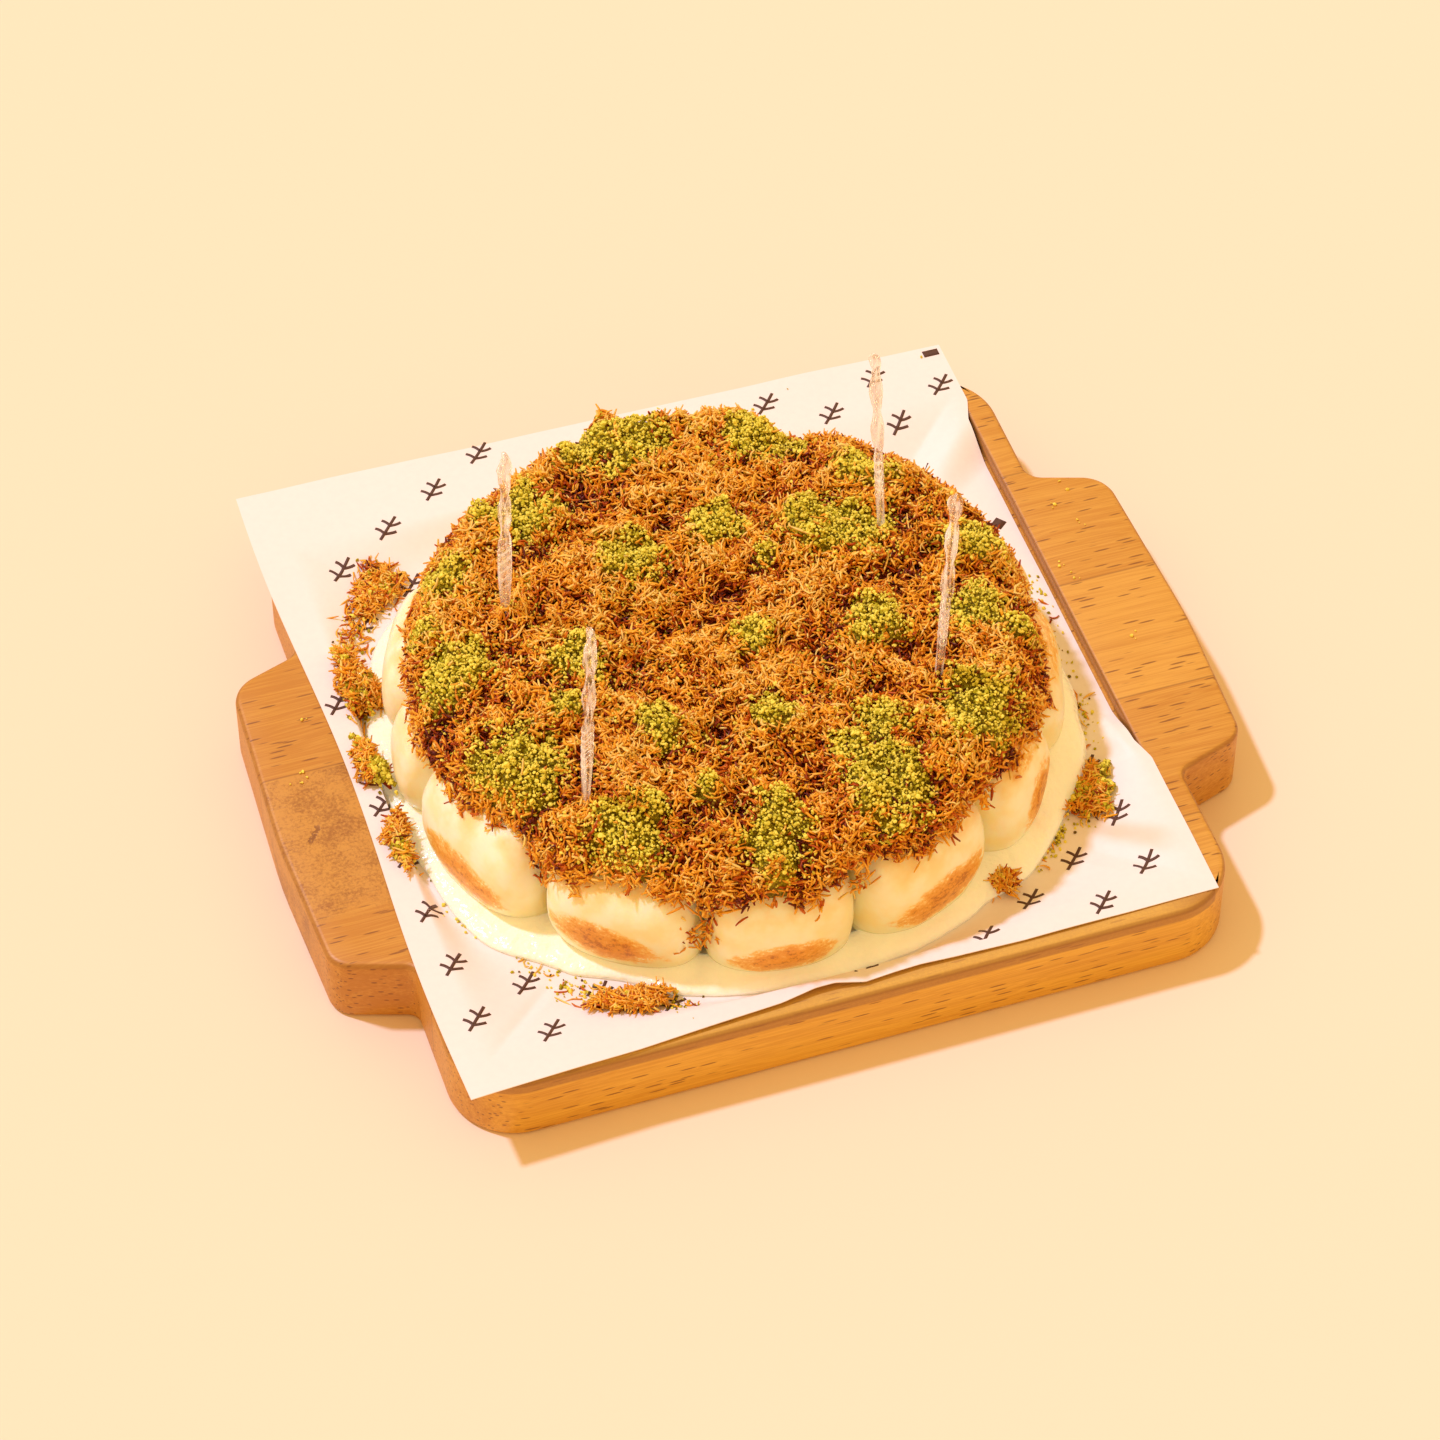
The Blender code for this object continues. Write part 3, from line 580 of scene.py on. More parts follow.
cake = {
    "centre": (-5.3, -2.0), "base": 23.1, "creases": [-1, 25, 53, 81, 109, 139, 169, 185.6, 217.5, 248,
                                                      277, 307, 329, 359],
    "reaches": [120, 118, 118.5, 117.5, 118, 120.5, 118.8, 120.3, 117.5, 116.5, 117, 119.5, 120.5],
    "drops": [0, 1.2, 0.4, 0.8, 0, 1, 2.4, 0.6, 1.4, 0.8, 0, 1, 0.5],
    "inner": 64.5, "middle": 91, "largest": 118.5, "height": 45, "belly": 14,
    "roundness": 2.6, "footFullness": 0.9, "footTuck": 0.035, "sideGap": -0.25, "lumps": 0.9,
    "sidePower": (2.6, 5.5),
    "crumb": (1.0, 0.86, 0.46), "pale": (1.0, 0.95, 0.66), "golden": (0.98, 0.62, 0.16),
    "baked": (0.84, 0.37, 0.040), "bakedDark": (0.46, 0.13, 0.009), "syrup": (0.95, 0.55, 0.10),
    # browned places on the buns: shift along the wall, half width, half height, strength, height, tilt
    "patches": {0: [(0, 24, 7, 0.45, 35, 0)], 1: [(0, 22, 7, 0.4, 36, 0)], 6: [(-12, 3.5, 13, 0.6, 18, 0)],
                7: [(4, 22, 9, 1.0, 14, -0.05)], 8: [(-3, 22, 9, 1.1, 14.5, -0.12)],
                9: [(0, 19, 8, 1.0, 11, 0.1)], 10: [(2, 23, 9.5, 1.15, 14, 0.12)],
                11: [(2, 14, 12, 1.15, 17, 0.3), (0, 16, 5, 0.4, 37, 0)], 12: [(4, 24, 7, 0.42, 35, 0)]},
}
centre = np.array(cake["centre"] + (0,))


def bunShape(u, v, w, start, end, reach, height):
    # u side to side, v from the core outwards, w from the foot up. Each point of a cube is drawn in until
    # |u|^side + v^power + w^power is 1; the side power is low at the foot, where the creases are deep
    outer, upper = np.maximum(v, 0), np.maximum(w, 0)
    power = cake["roundness"] + cake["footFullness"] * np.maximum(-w, 0)
    foot, top = cake["sidePower"]
    side = foot + (top - foot) * smoothStep(-1, 0.2, w)
    low, high = np.zeros_like(u), np.ones_like(u)
    for _ in range(22):
        half = (low + high) / 2
        outside = (np.abs(u) * half) ** side + (outer * half) ** power + (upper * half) ** power > 1
        low, high = np.where(outside, low, half), np.where(outside, half, high)
    u = u * high
    v = np.where(v > 0, v * high, v)
    w = np.where(w > 0, w * high, w)
    radius = cake["middle"] + v * np.where(v > 0, reach - cake["middle"], cake["middle"] - cake["inner"])
    radius = radius - np.where((w < 0) & (v > 0), cake["footTuck"] * v * w * w * cake["middle"], 0)
    half = math.radians(end - start) / 2 - cake["sideGap"] / radius
    bearing = math.radians(end + start) / 2 + u * half
    rise = w * np.where(w > 0, height - cake["belly"], cake["belly"])
    return polar(radius, bearing, cake["base"] + cake["belly"] + rise), v


def makeBuns(material):
    # every bun is a globe of directions drawn out to a cube, shaped by bunShape and pushed out by noise
    columns, rows = 140, 72
    a = np.linspace(0, 2 * np.pi, columns, endpoint=False)[None, :]
    b = np.radians(np.linspace(-88.5, 88.5, rows))[:, None]
    way = np.broadcast_arrays(np.cos(b) * np.cos(a), np.cos(b) * np.sin(a), np.sin(b))
    way = np.concatenate([np.stack(way, axis=-1).reshape(-1, 3), [[0, 0, -1], [0, 0, 1]]])
    cube = way / np.abs(way).max(axis=1, keepdims=True)
    faces = closedFaces(rows, columns)
    for index, reach in enumerate(cake["reaches"]):
        start, end = cake["creases"][index:index + 2]
        points, v = bunShape(*cube.T, start, end, reach, cake["height"] - cake["drops"][index])
        middle = polar(cake["middle"], math.radians(start + end) / 2, cake["base"] + 16)
        outward = unit(points - middle)
        lumps = smoothNoise(points, 17, index) * cake["lumps"] + smoothNoise(points, 5.5, index + 40) * 0.22
        points = points + outward * (lumps * smoothStep(0, 6, points[:, 2] - cake["base"]))[:, None]
        radius, bearing = fromCentre(points)
        arc = ((bearing - math.radians(start + end) / 2 + np.pi) % (2 * np.pi) - np.pi) * radius
        level = points[:, 2] - cake["base"]
        ragged = 0.16 * smoothNoise(points, 8, 21) + 0.10 * smoothNoise(points, 2.2, 22)
        browned = np.zeros(len(points))
        # the buns out of sight get one patch of chance size
        spare = (rng.uniform(-3, 3), rng.uniform(15, 20), rng.uniform(6.5, 8.5), rng.uniform(0.5, 0.9), 13, 0)
        for shift, halfWide, halfHigh, strength, high, tilt in cake["patches"].get(index, [spare]):
            across, above = arc - shift, level - high
            off = np.hypot(across / halfWide, (above - tilt * across) / halfHigh) + ragged
            patch = strength * (1 - smoothStep(0.35, 1.2, off)) * smoothStep(0.35, 0.7, v)
            browned = np.maximum(browned, patch)
        past = radius - toppingRim(bearing) + 3 * smoothNoise(points, 6, 30)
        amber = (1 - smoothStep(-2, 9, past)) * smoothStep(25, 36, level)
        values = {"browned": browned, "amber": amber}
        piece = makePiece(f"softBun{index + 1:02d}", points, faces, material, values)
        place(piece, "bread", f"bun_{index + 1:02d}")


def breadMaterial():
    material, shader, where = newMaterial("bread", Roughness=0.42, IOR=1.4, Coat_Weight=0.25,
                                          Coat_Roughness=0.12, Subsurface_Weight=0.35,
                                          Subsurface_Radius=(1.0, 0.55, 0.22), Subsurface_Scale=0.005)
    level = where.part(2) - cake["base"]
    soft = where.noise(0.10, 3, 0.5)
    pores = where.noise(1.1, 3, 0.6)
    colour = soft.step(0.35, 0.68).mix(cake["pale"], cake["crumb"])
    amber = where.value("amber") * soft.step(0.25, 0.7)
    colour = (amber * 0.75).mix(colour, cake["syrup"])
    browned = where.value("browned")
    mottle = where.stretched(1, 1, 1.7).noise(0.26, 5, 0.7)
    # the mottling only shows where the bread has browned
    burnt = browned + ((mottle - 0.5) * 2.4 + (pores - 0.5) * 1.2) * browned.step(0.05, 0.5)
    colour = burnt.step(0.04, 0.40).mix(colour, cake["golden"])
    colour = burnt.step(0.25, 0.90).mix(colour, cake["baked"])
    colour = (burnt.step(0.95, 1.45) * 0.8).mix(colour, cake["bakedDark"])
    wet = 1 - level.step(1.0, 9.0)
    rough = 0.40 + browned * 0.1 - wet * 0.22 + pores * 0.06
    relief = pores * 0.35 + soft * 0.5 + mottle * browned * 0.6
    connect(shader, {"Base Color": colour, "Roughness": rough}, relief, 0.4, 0.4)
    return material


cream = {
    "spread": [(-166, 123), (-154, 126.5), (-148, 128), (-134, 123.5), (-124, 120), (-116, 122.5),
               (-106, 121), (-94, 120), (-84, 121), (-74, 121), (-61, 122), (-50, 126.5), (-38, 127),
               (-30, 130), (-14, 127), (0, 124), (25, 120.5), (70, 122), (110, 122), (129, 128),
               (144, 131), (158, 127), (174, 122.5)],
    "inner": 104, "depth": 3.2, "lobeDepth": 8.5, "lobeBearing": -22, "lobeSpan": 26,
    "colour": (1.0, 0.93, 0.70), "deep": (0.98, 0.90, 0.63),
}


def creamSpread(bearing):
    return around(cream["spread"], np.degrees(bearing))


def makeCream():
    # a ring round the cake, whose section is a half oval: the radius is the middle plus half the width
    # times the turn's cosine, and the height is the depth times the turn's sine to the power 0.75
    count, sides = 720, 26
    bearing = np.linspace(-np.pi, np.pi, count, endpoint=False)[:, None]
    turn = np.linspace(0, 2 * np.pi, sides, endpoint=False)[None, :]
    outer = creamSpread(bearing) + 0.5 * smoothNoise(polar(60, bearing, 0), 5, 9)
    away = (np.degrees(bearing) - cream["lobeBearing"] + 180) % 360 - 180
    lobe = np.clip(1 - (away / cream["lobeSpan"]) ** 2, 0, 1)
    depth = cream["depth"] + (cream["lobeDepth"] - cream["depth"]) * lobe
    depth = depth * (1 + 0.12 * smoothNoise(polar(80, bearing, 0), 14, 12))
    middle, half = (outer + cream["inner"]) / 2, (outer - cream["inner"]) / 2
    rise = np.where(np.sin(turn) > 0, np.abs(np.sin(turn)) ** 0.75, 0) * depth
    points = polar(middle + half * np.cos(turn), bearing, cake["base"] - 0.1 + rise)
    # the cream also glows faintly in its own colour: painted light standing in for the light that passes
    # through it
    material, shader, where = newMaterial("creamWet", Roughness=0.12, IOR=1.42, Coat_Weight=0.8,
                                          Coat_Roughness=0.04, Emission_Strength=0.15,
                                          Subsurface_Weight=0.35, Subsurface_Radius=(1.0, 0.6, 0.3),
                                          Subsurface_Scale=0.004)
    ripple = where.noise(0.12, 2, 0.4)
    beads = where.noise(0.5, 2, 0.5)
    # paler where the pool thins out
    thick = (where.part(2) - cake["base"]).step(0.5, 4.5)
    colour = (thick * 0.7 + ripple * 0.4).mix(cream["colour"], cream["deep"])
    connect(shader, {"Base Color": colour, "Emission Color": colour, "Roughness": ripple * 0.12 + 0.06},
            ripple + beads * 0.25, 0.8, 2.2)
    piece = makePiece("creamPool", points, [gridFaces(count, sides, closed=True)], material)
    place(piece, "cream", "cream")


topping = {
    # how far the shreds reach at each bearing
    "rim": [(-173, 112), (-161, 112), (-148, 109), (-136, 113), (-122, 111), (-112, 114), (-94, 114),
            (-81, 108), (-75, 111), (-69, 112), (-58, 110.5), (-48, 111.5), (-26, 114), (-9, 109),
            (10, 112), (28, 111), (48, 109), (57, 99), (69, 110), (83, 110), (92, 115), (105, 106),
            (121, 108), (143, 110), (160, 111), (173, 110)],
    "thickness": 11, "rimThickness": 2.5, "gap": 0.8,
    # unevenness: height, size and seed of its noise
    "relief": [(3.3, 12, 61), (2.6, 5.5, 62), (2.2, 26, 63)],
    # nut mounds: x, y and radius
    "mounds": [(-19, 96, 12), (-4, 90, 12), (41, 80, 11.5), (72, 51, 10), (-51, 70, 11), (-64, 75, 5),
               (45, 30, 12.5), (58, 26, 12), (12, 43, 9), (-21, 36, 10), (-88, 49, 10), (96, 9, 9),
               (-96, 6, 11), (-101, 28, 5), (-53, -4, 10), (-64, -24, 6), (-88, -42, 15.5), (6, -13, 6.5),
               (1, -49, 7), (49, -19, 10), (85, -23, 11), (70, -65, 13.5), (37, -62, 8), (21, -68, 6),
               (30, -86, 13), (27, -101, 4), (-62, -82, 13), (-48, -75, 5), (-9, -91, 9), (-15, -101, 9),
               (-37, -42, 7), (-38, -52, 5), (-30, -73, 4.5), (23, 23, 4), (98, -33, 6), (82, -71, 6)],
    # tall tufts: x, y, radius and rise
    "tufts": [(-10, 111, 8, 9), (-36, 98, 8, 3), (8, 101, 5, 4), (16, 98, 4, 4), (71, 72, 8, 4)],
    # shreds in creases: bearing, lowest and highest level, number
    "creases": [(248, 14, 33, 62), (217.5, 24, 36, 30), (277, 29, 38, 22)],
    "moundRise": 4.5, "shreds": 28500, "rimShreds": 5200, "fineGrains": 24800, "coarseGrains": 3200,
    # dark and nutDark, the darkest ends, stand for the shade deep between the strands and grains: painted
    # shade
    "dark": (0.10, 0.007, 0.0004), "rust": (0.58, 0.082, 0.001), "orange": (0.98, 0.445, 0.022),
    "gold": (1.0, 0.74, 0.19), "topShreds": 2600,
    "nutLight": (0.94, 0.80, 0.105), "nutGreen": (0.50, 0.425, 0.009), "nutDark": (0.14, 0.075, 0.001),
}


def toppingRim(bearing):
    return around(topping["rim"], np.degrees(bearing))


def breadTop(radius):
    # level of the buns' tops: from belly to height by (1 - share^roundness)^(1 / roundness)
    v = np.maximum(0, radius - cake["middle"]) / (cake["largest"] - cake["middle"])
    share = np.maximum(0, 1 - v ** cake["roundness"]) ** (1 / cake["roundness"])
    return cake["belly"] + (cake["height"] - cake["belly"]) * share


def moundShare(points):
    # 1 in the middle of a nut mound, falling to 0 a little outside its edge
    flat = points[..., :2] - centre[:2]
    ragged = 0.32 * smoothNoise(points * [1, 1, 0], 7, 51) + 0.24 * smoothNoise(points * [1, 1, 0], 3, 52)
    best = np.zeros(flat.shape[:-1])
    for x, y, size in topping["mounds"]:
        apart = np.hypot(flat[..., 0] - x, flat[..., 1] - y) / (size * 1.12) + ragged
        best = np.maximum(best, 1 - smoothStep(0.50, 1.70, apart))
    return best


def toppingHeight(points):
    # the bread's top plus a layer that thins with the sixth power of the way to the rim, plus the tufts
    # and the uneven relief with its mounds, which fades at the rim
    radius, bearing = fromCentre(points)
    along = np.clip(radius / toppingRim(bearing), 0, 1)
    thick = topping["rimThickness"] + (topping["thickness"] - topping["rimThickness"]) * (1 - along ** 6)
    flat = points * [1, 1, 0]
    relief = sum(rise * smoothNoise(flat, size, seed) for rise, size, seed in topping["relief"])
    relief = relief + topping["moundRise"] * moundShare(points)
    fade = np.clip((1 - along) / 0.05, 0.25, 1)
    for x, y, size, rise in topping["tufts"]:
        apart = np.hypot(points[..., 0] - centre[0] - x, points[..., 1] - centre[1] - y) / size
        thick = thick + rise * (1 - smoothStep(0, 1, apart))
    bread = breadTop(np.minimum(radius, cake["largest"] - 0.3))
    return cake["base"] + bread + topping["gap"] + thick + relief * fade


def surfaceFrame(points):
    # the way up from the topping's surface, by its slope over a short step
    step = 1.2
    dx = (toppingHeight(points + [step, 0, 0]) - toppingHeight(points - [step, 0, 0])) / (2 * step)
    dy = (toppingHeight(points + [0, step, 0]) - toppingHeight(points - [0, step, 0])) / (2 * step)
    return unit(np.stack([-dx, -dy, np.ones_like(dx)], axis=-1))


def makeToppingCore(material):
    # rings at shares of the rim, 2.2 under the topping's height with fine noise, closed below by two rings
    # that lie 1 into the bread's top
    count, rings = 300, 90
    bearing = np.linspace(-np.pi, np.pi, count, endpoint=False)
    rim = toppingRim(bearing) - 3
    shares = np.sin(np.linspace(0.012, 1, rings) * np.pi / 2)
    top = np.array([polar(rim * share, bearing, 0) for share in shares])
    top[..., 2] = toppingHeight(top) - 2.2 + 0.7 * smoothNoise(top, 2.2, 71)
    under = top[[-1, 0]].copy()
    radius, _ = fromCentre(under)
    under[..., 2] = cake["base"] + breadTop(radius) - 1
    top[-1, :, 2] = np.maximum(top[-1, :, 2] - 1.5, under[0, :, 2] + 0.2)
    points = np.concatenate([top, under]).reshape(-1, 3)
    tips = [[*centre[:2], top[0, :, 2].mean()], [*centre[:2], under[1, :, 2].mean()]]
    points = np.concatenate([points, tips])
    faces = closedFaces(rings + 2, count, inward=True)
    piece = makePiece("toppingBed", points, faces, material, {"mound": moundShare(points)})
    place(piece, "toasted_shreds", "topping")


def strands(places, along, up, length, thick, turned, leaning):
    # bent strands of three sides and four rings. Each is an arc through its place that turns by
    # turned radians in all, in a plane leaning from the surface's up, with its ends drawn in
    aside = unit(np.cross(up, along))
    bent = aside * np.cos(leaning)[:, None] + up * np.sin(leaning)[:, None]
    across = unit(np.cross(along, bent))
    turned = np.where(np.abs(turned) < 0.05, 0.05, turned)[:, None]
    angle = turned * np.linspace(-0.5, 0.5, 4)
    radius = length[:, None] / turned
    line = (places[:, None] + along[:, None] * (radius * np.sin(angle))[..., None]
            + bent[:, None] * (radius * (1 - np.cos(angle)))[..., None])
    outward = bent[:, None] * np.cos(angle)[..., None] - along[:, None] * np.sin(angle)[..., None]
    outward = outward[:, :, None]
    taper = np.array([0.6, 1, 0.95, 0.55])[None, :, None, None]
    corner = np.radians([90, 210, 330])[None, None, :, None]
    section = (across[:, None, None] * np.cos(corner) + outward * np.sin(corner)) * taper
    points = line[:, :, None] + section * thick[:, None, None, None] * 0.5
    start = np.arange(len(places))[:, None] * 12
    quads = (start[:, None] + gridFaces(4, 3)[None]).reshape(-1, 4)
    caps = np.concatenate([start + [2, 1, 0], start + [9, 10, 11]])
    return points.reshape(-1, 3), [quads, caps]


def curls(count, spread):
    # how much each strand turns, and which way it leans
    return rng.normal(0, spread, count), rng.uniform(0, 2 * np.pi, count)


def grown(count, shape, scale, shortest, thicknesses, spread):
    # random lengths and thicknesses of strands, with their curls
    return rng.gamma(shape, scale, count) + shortest, rng.uniform(*thicknesses, count), *curls(count, spread)


def laid(points, tilt):
    # a random way along the surface at each point, raised or lowered by tilt
    up = surfaceFrame(points)
    along = heading(rng.uniform(0, 2 * np.pi, len(points)), 0)
    along = unit(along - up * np.sum(along * up, axis=-1, keepdims=True))
    raised = rng.normal(0, tilt, len(points))[:, None]
    cosine, sine = np.cos(raised), np.sin(raised)
    return unit(along * cosine + up * sine), unit(up * cosine - along * sine)


def grains(places, sizes, solid):
    # each grain is a small solid turned at random and stretched unevenly
    corners, faces = solid
    corners = unit(corners) * 0.5
    count = len(places)
    squash = rng.uniform(0.65, 1.25, (count, 1, 3))
    jitter = 1 + rng.uniform(-0.22, 0.22, (count, len(corners), 1))
    axis = unit(rng.normal(size=(count, 3)))
    side = unit(np.cross(axis, rng.normal(size=(count, 3))))
    turn = np.stack([axis, side, np.cross(axis, side)], axis=-1)
    shape = np.einsum("nij,nkj->nki", turn, corners[None] * squash * jitter)
    points = places[:, None] + shape * sizes[:, None, None]
    start = np.arange(count)[:, None, None] * len(corners)
    return points.reshape(-1, 3), [(start + faces[None]).reshape(-1, 3)]


def octahedron():
    corners = np.array([(1, 0, 0), (-1, 0, 0), (0, 1, 0), (0, -1, 0), (0, 0, 1), (0, 0, -1)], float)
    faces = np.array([(0, 2, 4), (2, 1, 4), (1, 3, 4), (3, 0, 4), (2, 0, 5), (1, 2, 5), (3, 1, 5), (0, 3, 5)])
    return corners, faces


def icosahedron():
    # twelve corners on three golden rectangles
    g = (1 + math.sqrt(5)) / 2
    corners = np.array([(-1, g, 0), (1, g, 0), (-1, -g, 0), (1, -g, 0), (0, -1, g), (0, 1, g),
                        (0, -1, -g), (0, 1, -g), (g, 0, -1), (g, 0, 1), (-g, 0, -1), (-g, 0, 1)])
    faces = np.array([(0, 11, 5), (0, 5, 1), (0, 1, 7), (0, 7, 10), (0, 10, 11), (1, 5, 9), (5, 11, 4),
                      (11, 10, 2), (10, 7, 6), (7, 1, 8), (3, 9, 4), (3, 4, 2), (3, 2, 6), (3, 6, 8),
                      (3, 8, 9), (4, 9, 5), (2, 4, 11), (6, 2, 10), (8, 6, 7), (9, 8, 1)])
    return corners, faces


def scattered(count, reach=1.0):
    # random places over the topping, evenly spread
    bearing = rng.uniform(-np.pi, np.pi, count)
    return polar(toppingRim(bearing) * reach * np.sqrt(rng.uniform(0, 1, count)), bearing, 0)


def offMounds(points, strength, low, high, count):
    # the first of the points, without most of those on the nut mounds
    kept = rng.uniform(0, 1, len(points)) > strength * smoothStep(low, high, moundShare(points))
    return points[kept][:count]


def onTopping(points, low, high):
    points = points.copy()
    lift = rng.uniform(low, high, len(points))
    points[:, 2] = toppingHeight(points) + lift
    return points, (lift - low) / (high - low)


def makeShreds(material):
    chosen = offMounds(scattered(int(topping["shreds"] * 1.6)), 0.98, 0.3, 0.95, topping["shreds"])
    for index, part in enumerate(np.array_split(chosen, 3)):
        part, high = onTopping(part, -1.8, 1.5)
        count = len(part)
        points, faces = strands(part, *laid(part, 0.55), *grown(count, 5, 0.55, 1.8, (0.75, 1.3), 2.5))
        flat = part * [1, 1, 0]
        # the tint rises with a strand's height in the layer and over the relief's crests: painted shade on
        # the low strands and in the dips, painted light on the top ones, over each strand's own random toast
        paintedReliefShade = 0.32 * smoothNoise(flat, 12, 61) + 0.36 * smoothNoise(flat, 5.5, 62)
        tint = np.clip(0.04 + 0.62 * high + 0.2 * rng.normal(size=count) + paintedReliefShade, 0, 1)
        placeMany(f"shreds{index + 1}", points, faces, material, tint, "toasted_shreds")


def makeTopShreds(material):
    # a sparse upper layer of longer, paler strands, painted paler in part as strands on top catch the light
    chosen = offMounds(scattered(topping["topShreds"] * 3, 0.98), 0.995, 0.2, 0.7, topping["topShreds"])
    chosen, _ = onTopping(chosen, 0.3, 1.9)
    count = len(chosen)
    points, faces = strands(chosen, *laid(chosen, 0.5), *grown(count, 6, 0.55, 2.3, (0.75, 1.15), 2.2))
    tint = np.clip(rng.normal(0.74, 0.2, count), 0.3, 1.1)
    placeMany("topShreds", points, faces, material, tint, "toasted_shreds")


def makeRimShreds(material):
    # shreds round the topping's edge, leaning out and down over the buns
    count = topping["rimShreds"]
    bearing = rng.uniform(-np.pi, np.pi, count)
    circle = polar(110, bearing, 0)
    rim = toppingRim(bearing) + 2.0 * smoothNoise(circle, 4, 83) + 1.8 * smoothNoise(circle, 13, 84)
    rim = rim + rng.normal(0, 0.8, count)
    start = polar(rim - rng.uniform(0, 5, count), bearing, 0)
    start[:, 2] = toppingHeight(start) - rng.uniform(0.5, 4, count)
    out = heading(bearing, 0)
    side = out[:, [1, 0, 2]] * [-1, 1, 1]
    down = np.array([0, 0, -1.0])
    along = unit(side * rng.normal(0, 0.9, (count, 1)) + out * rng.uniform(0.0, 0.8, (count, 1))
                 + down * rng.uniform(0.0, 1.0, (count, 1)))
    up = unit(np.cross(along, np.cross(unit(out - down), along)))
    points, faces = strands(start, along, up, *grown(count, 5, 0.5, 1.8, (0.75, 1.3), 1.5))
    tint = np.clip(rng.normal(0.6, 0.26, count), 0, 1)
    placeMany("rimShreds", points, faces, material, tint, "toasted_shreds")


def makeCreaseShreds(material):
    # shreds that have slid down into the creases between the front buns
    spots = []
    for bearing, low, high, count in topping["creases"]:
        turned = np.radians(bearing + rng.normal(0, 1.3, count))
        level = rng.uniform(low, high, count)
        radius = 108.5 + 2.5 * smoothStep(34, 12, level) + np.abs(np.degrees(turned) - bearing) * 1.1
        spots.append(polar(radius, turned, cake["base"] + level))
    spots = np.concatenate(spots)
    count = len(spots)
    _, bearing = fromCentre(spots)
    up = heading(bearing, 0.5)
    along = unit(np.cross(up, rng.normal(size=(count, 3))))
    points, faces = strands(spots, along, unit(up), *grown(count, 5, 0.5, 1.8, (0.7, 1.2), 1.6))
    tint = np.clip(rng.normal(0.6, 0.25, count), 0, 1)
    placeMany("creaseShreds", points, faces, material, tint, "toasted_shreds")


def makeNuts(material):
    for name, count, solid, sizes in [("fineNuts", topping["fineGrains"], octahedron(), (0.8, 1.5)),
                                      ("coarseNuts", topping["coarseGrains"], icosahedron(), (1.2, 2.0))]:
        chosen = scattered(count * 6, 0.985)
        stray = 0.05 + 0.30 * smoothStep(-0.1, 0.7, smoothNoise(chosen * [1, 1, 0], 17, 55))
        keep = rng.uniform(0, 1, len(chosen)) < np.maximum(stray, moundShare(chosen))
        chosen, high = onTopping(chosen[keep][:count], -0.6, 1.3)
        points, faces = grains(chosen, rng.uniform(*sizes, len(chosen)), solid)
        # grains lying lower in the layer are painted darker and the top ones paler: painted shade and light,
        # over their own random colour
        tint = np.clip(0.30 + 0.52 * high + 0.2 * rng.normal(size=len(chosen)), 0, 1)
        placeMany(name, points, faces, material, tint, "toasted_shreds", smooth=False)


def shredMaterial():
    material, shader, where = newMaterial("toastedShreds", Roughness=0.42, IOR=1.45, Specular_IOR_Level=0.3)
    tint = where.value("tint") + (where.noise(0.6, 2) - 0.5) * 0.35
    colour = tint.step(-0.05, 0.32).mix(topping["dark"], topping["rust"])
    colour = tint.step(0.18, 0.62).mix(colour, topping["orange"])
    colour = (tint.step(0.62, 1.1) * 0.85).mix(colour, topping["gold"])
    connect(shader, {"Base Color": colour}, where.noise(2.0, 2), 0.3, 0.15)
    return material


def bedMaterial():
    material, shader, where = newMaterial("toastedBed", Roughness=0.6, Specular_IOR_Level=0.15)
    # the bed shows only between the strands and grains, so its colours are mostly painted shade: dark
    # speckled with rust, and under the mounds dark green
    speck = where.noise(0.9, 4, 0.7)
    colour = speck.step(0.35, 0.75).mix(topping["dark"], topping["rust"])
    green = speck.step(0.35, 0.70).mix(topping["nutDark"], topping["nutGreen"])
    colour = where.value("mound").step(0.4, 0.85).mix(colour, green)
    connect(shader, {"Base Color": colour}, speck, 0.8, 0.8)
    return material


def nutMaterial():
    material, shader, where = newMaterial("groundPistachio", Roughness=0.6, Specular_IOR_Level=0.15)
    tint = where.value("tint") + (where.noise(0.8, 2) - 0.5) * 0.3
    colour = tint.step(0.0, 0.40).mix(topping["nutDark"], topping["nutGreen"])
    colour = tint.step(0.30, 0.80).mix(colour, topping["nutLight"])
    connect(shader, {"Base Color": colour}, where.noise(2.5, 2), 0.4, 0.2)
    return material


clumps = [
    # name, x, y, half length, half width, height, turn, share of nuts
    ("clump_left", -124, 53, 18, 8, 10, 95, 0.35),
    ("clump_left_middle", -130, 14, 15, 5.5, 6, 100, 0.7),
    ("clump_left_front", -130, -22, 14, 4.5, 5, 85, 0.4),
    ("clump_left_back", -104.3, 99, 15, 9, 2.5, 50, 0.15),
    ("clump_front", -74.3, -112, 15, 5.5, 5, -10, 0.05),
    ("clump_in_cream", 63.7, -102, 6.5, 5, 5, 20, 0.1),
    ("clump_right", 107.7, -73, 14, 8, 6, 55, 0.6),
]


def fallenWays(count, rise, spread):
    # random ways across the sheet, a little raised, and the way up from each
    along = unit(heading(rng.uniform(0, 2 * np.pi, count), rng.normal(rise, spread, count)))
    return along, unit(np.cross(along, np.cross(np.array([0, 0, 1.0]), along)))


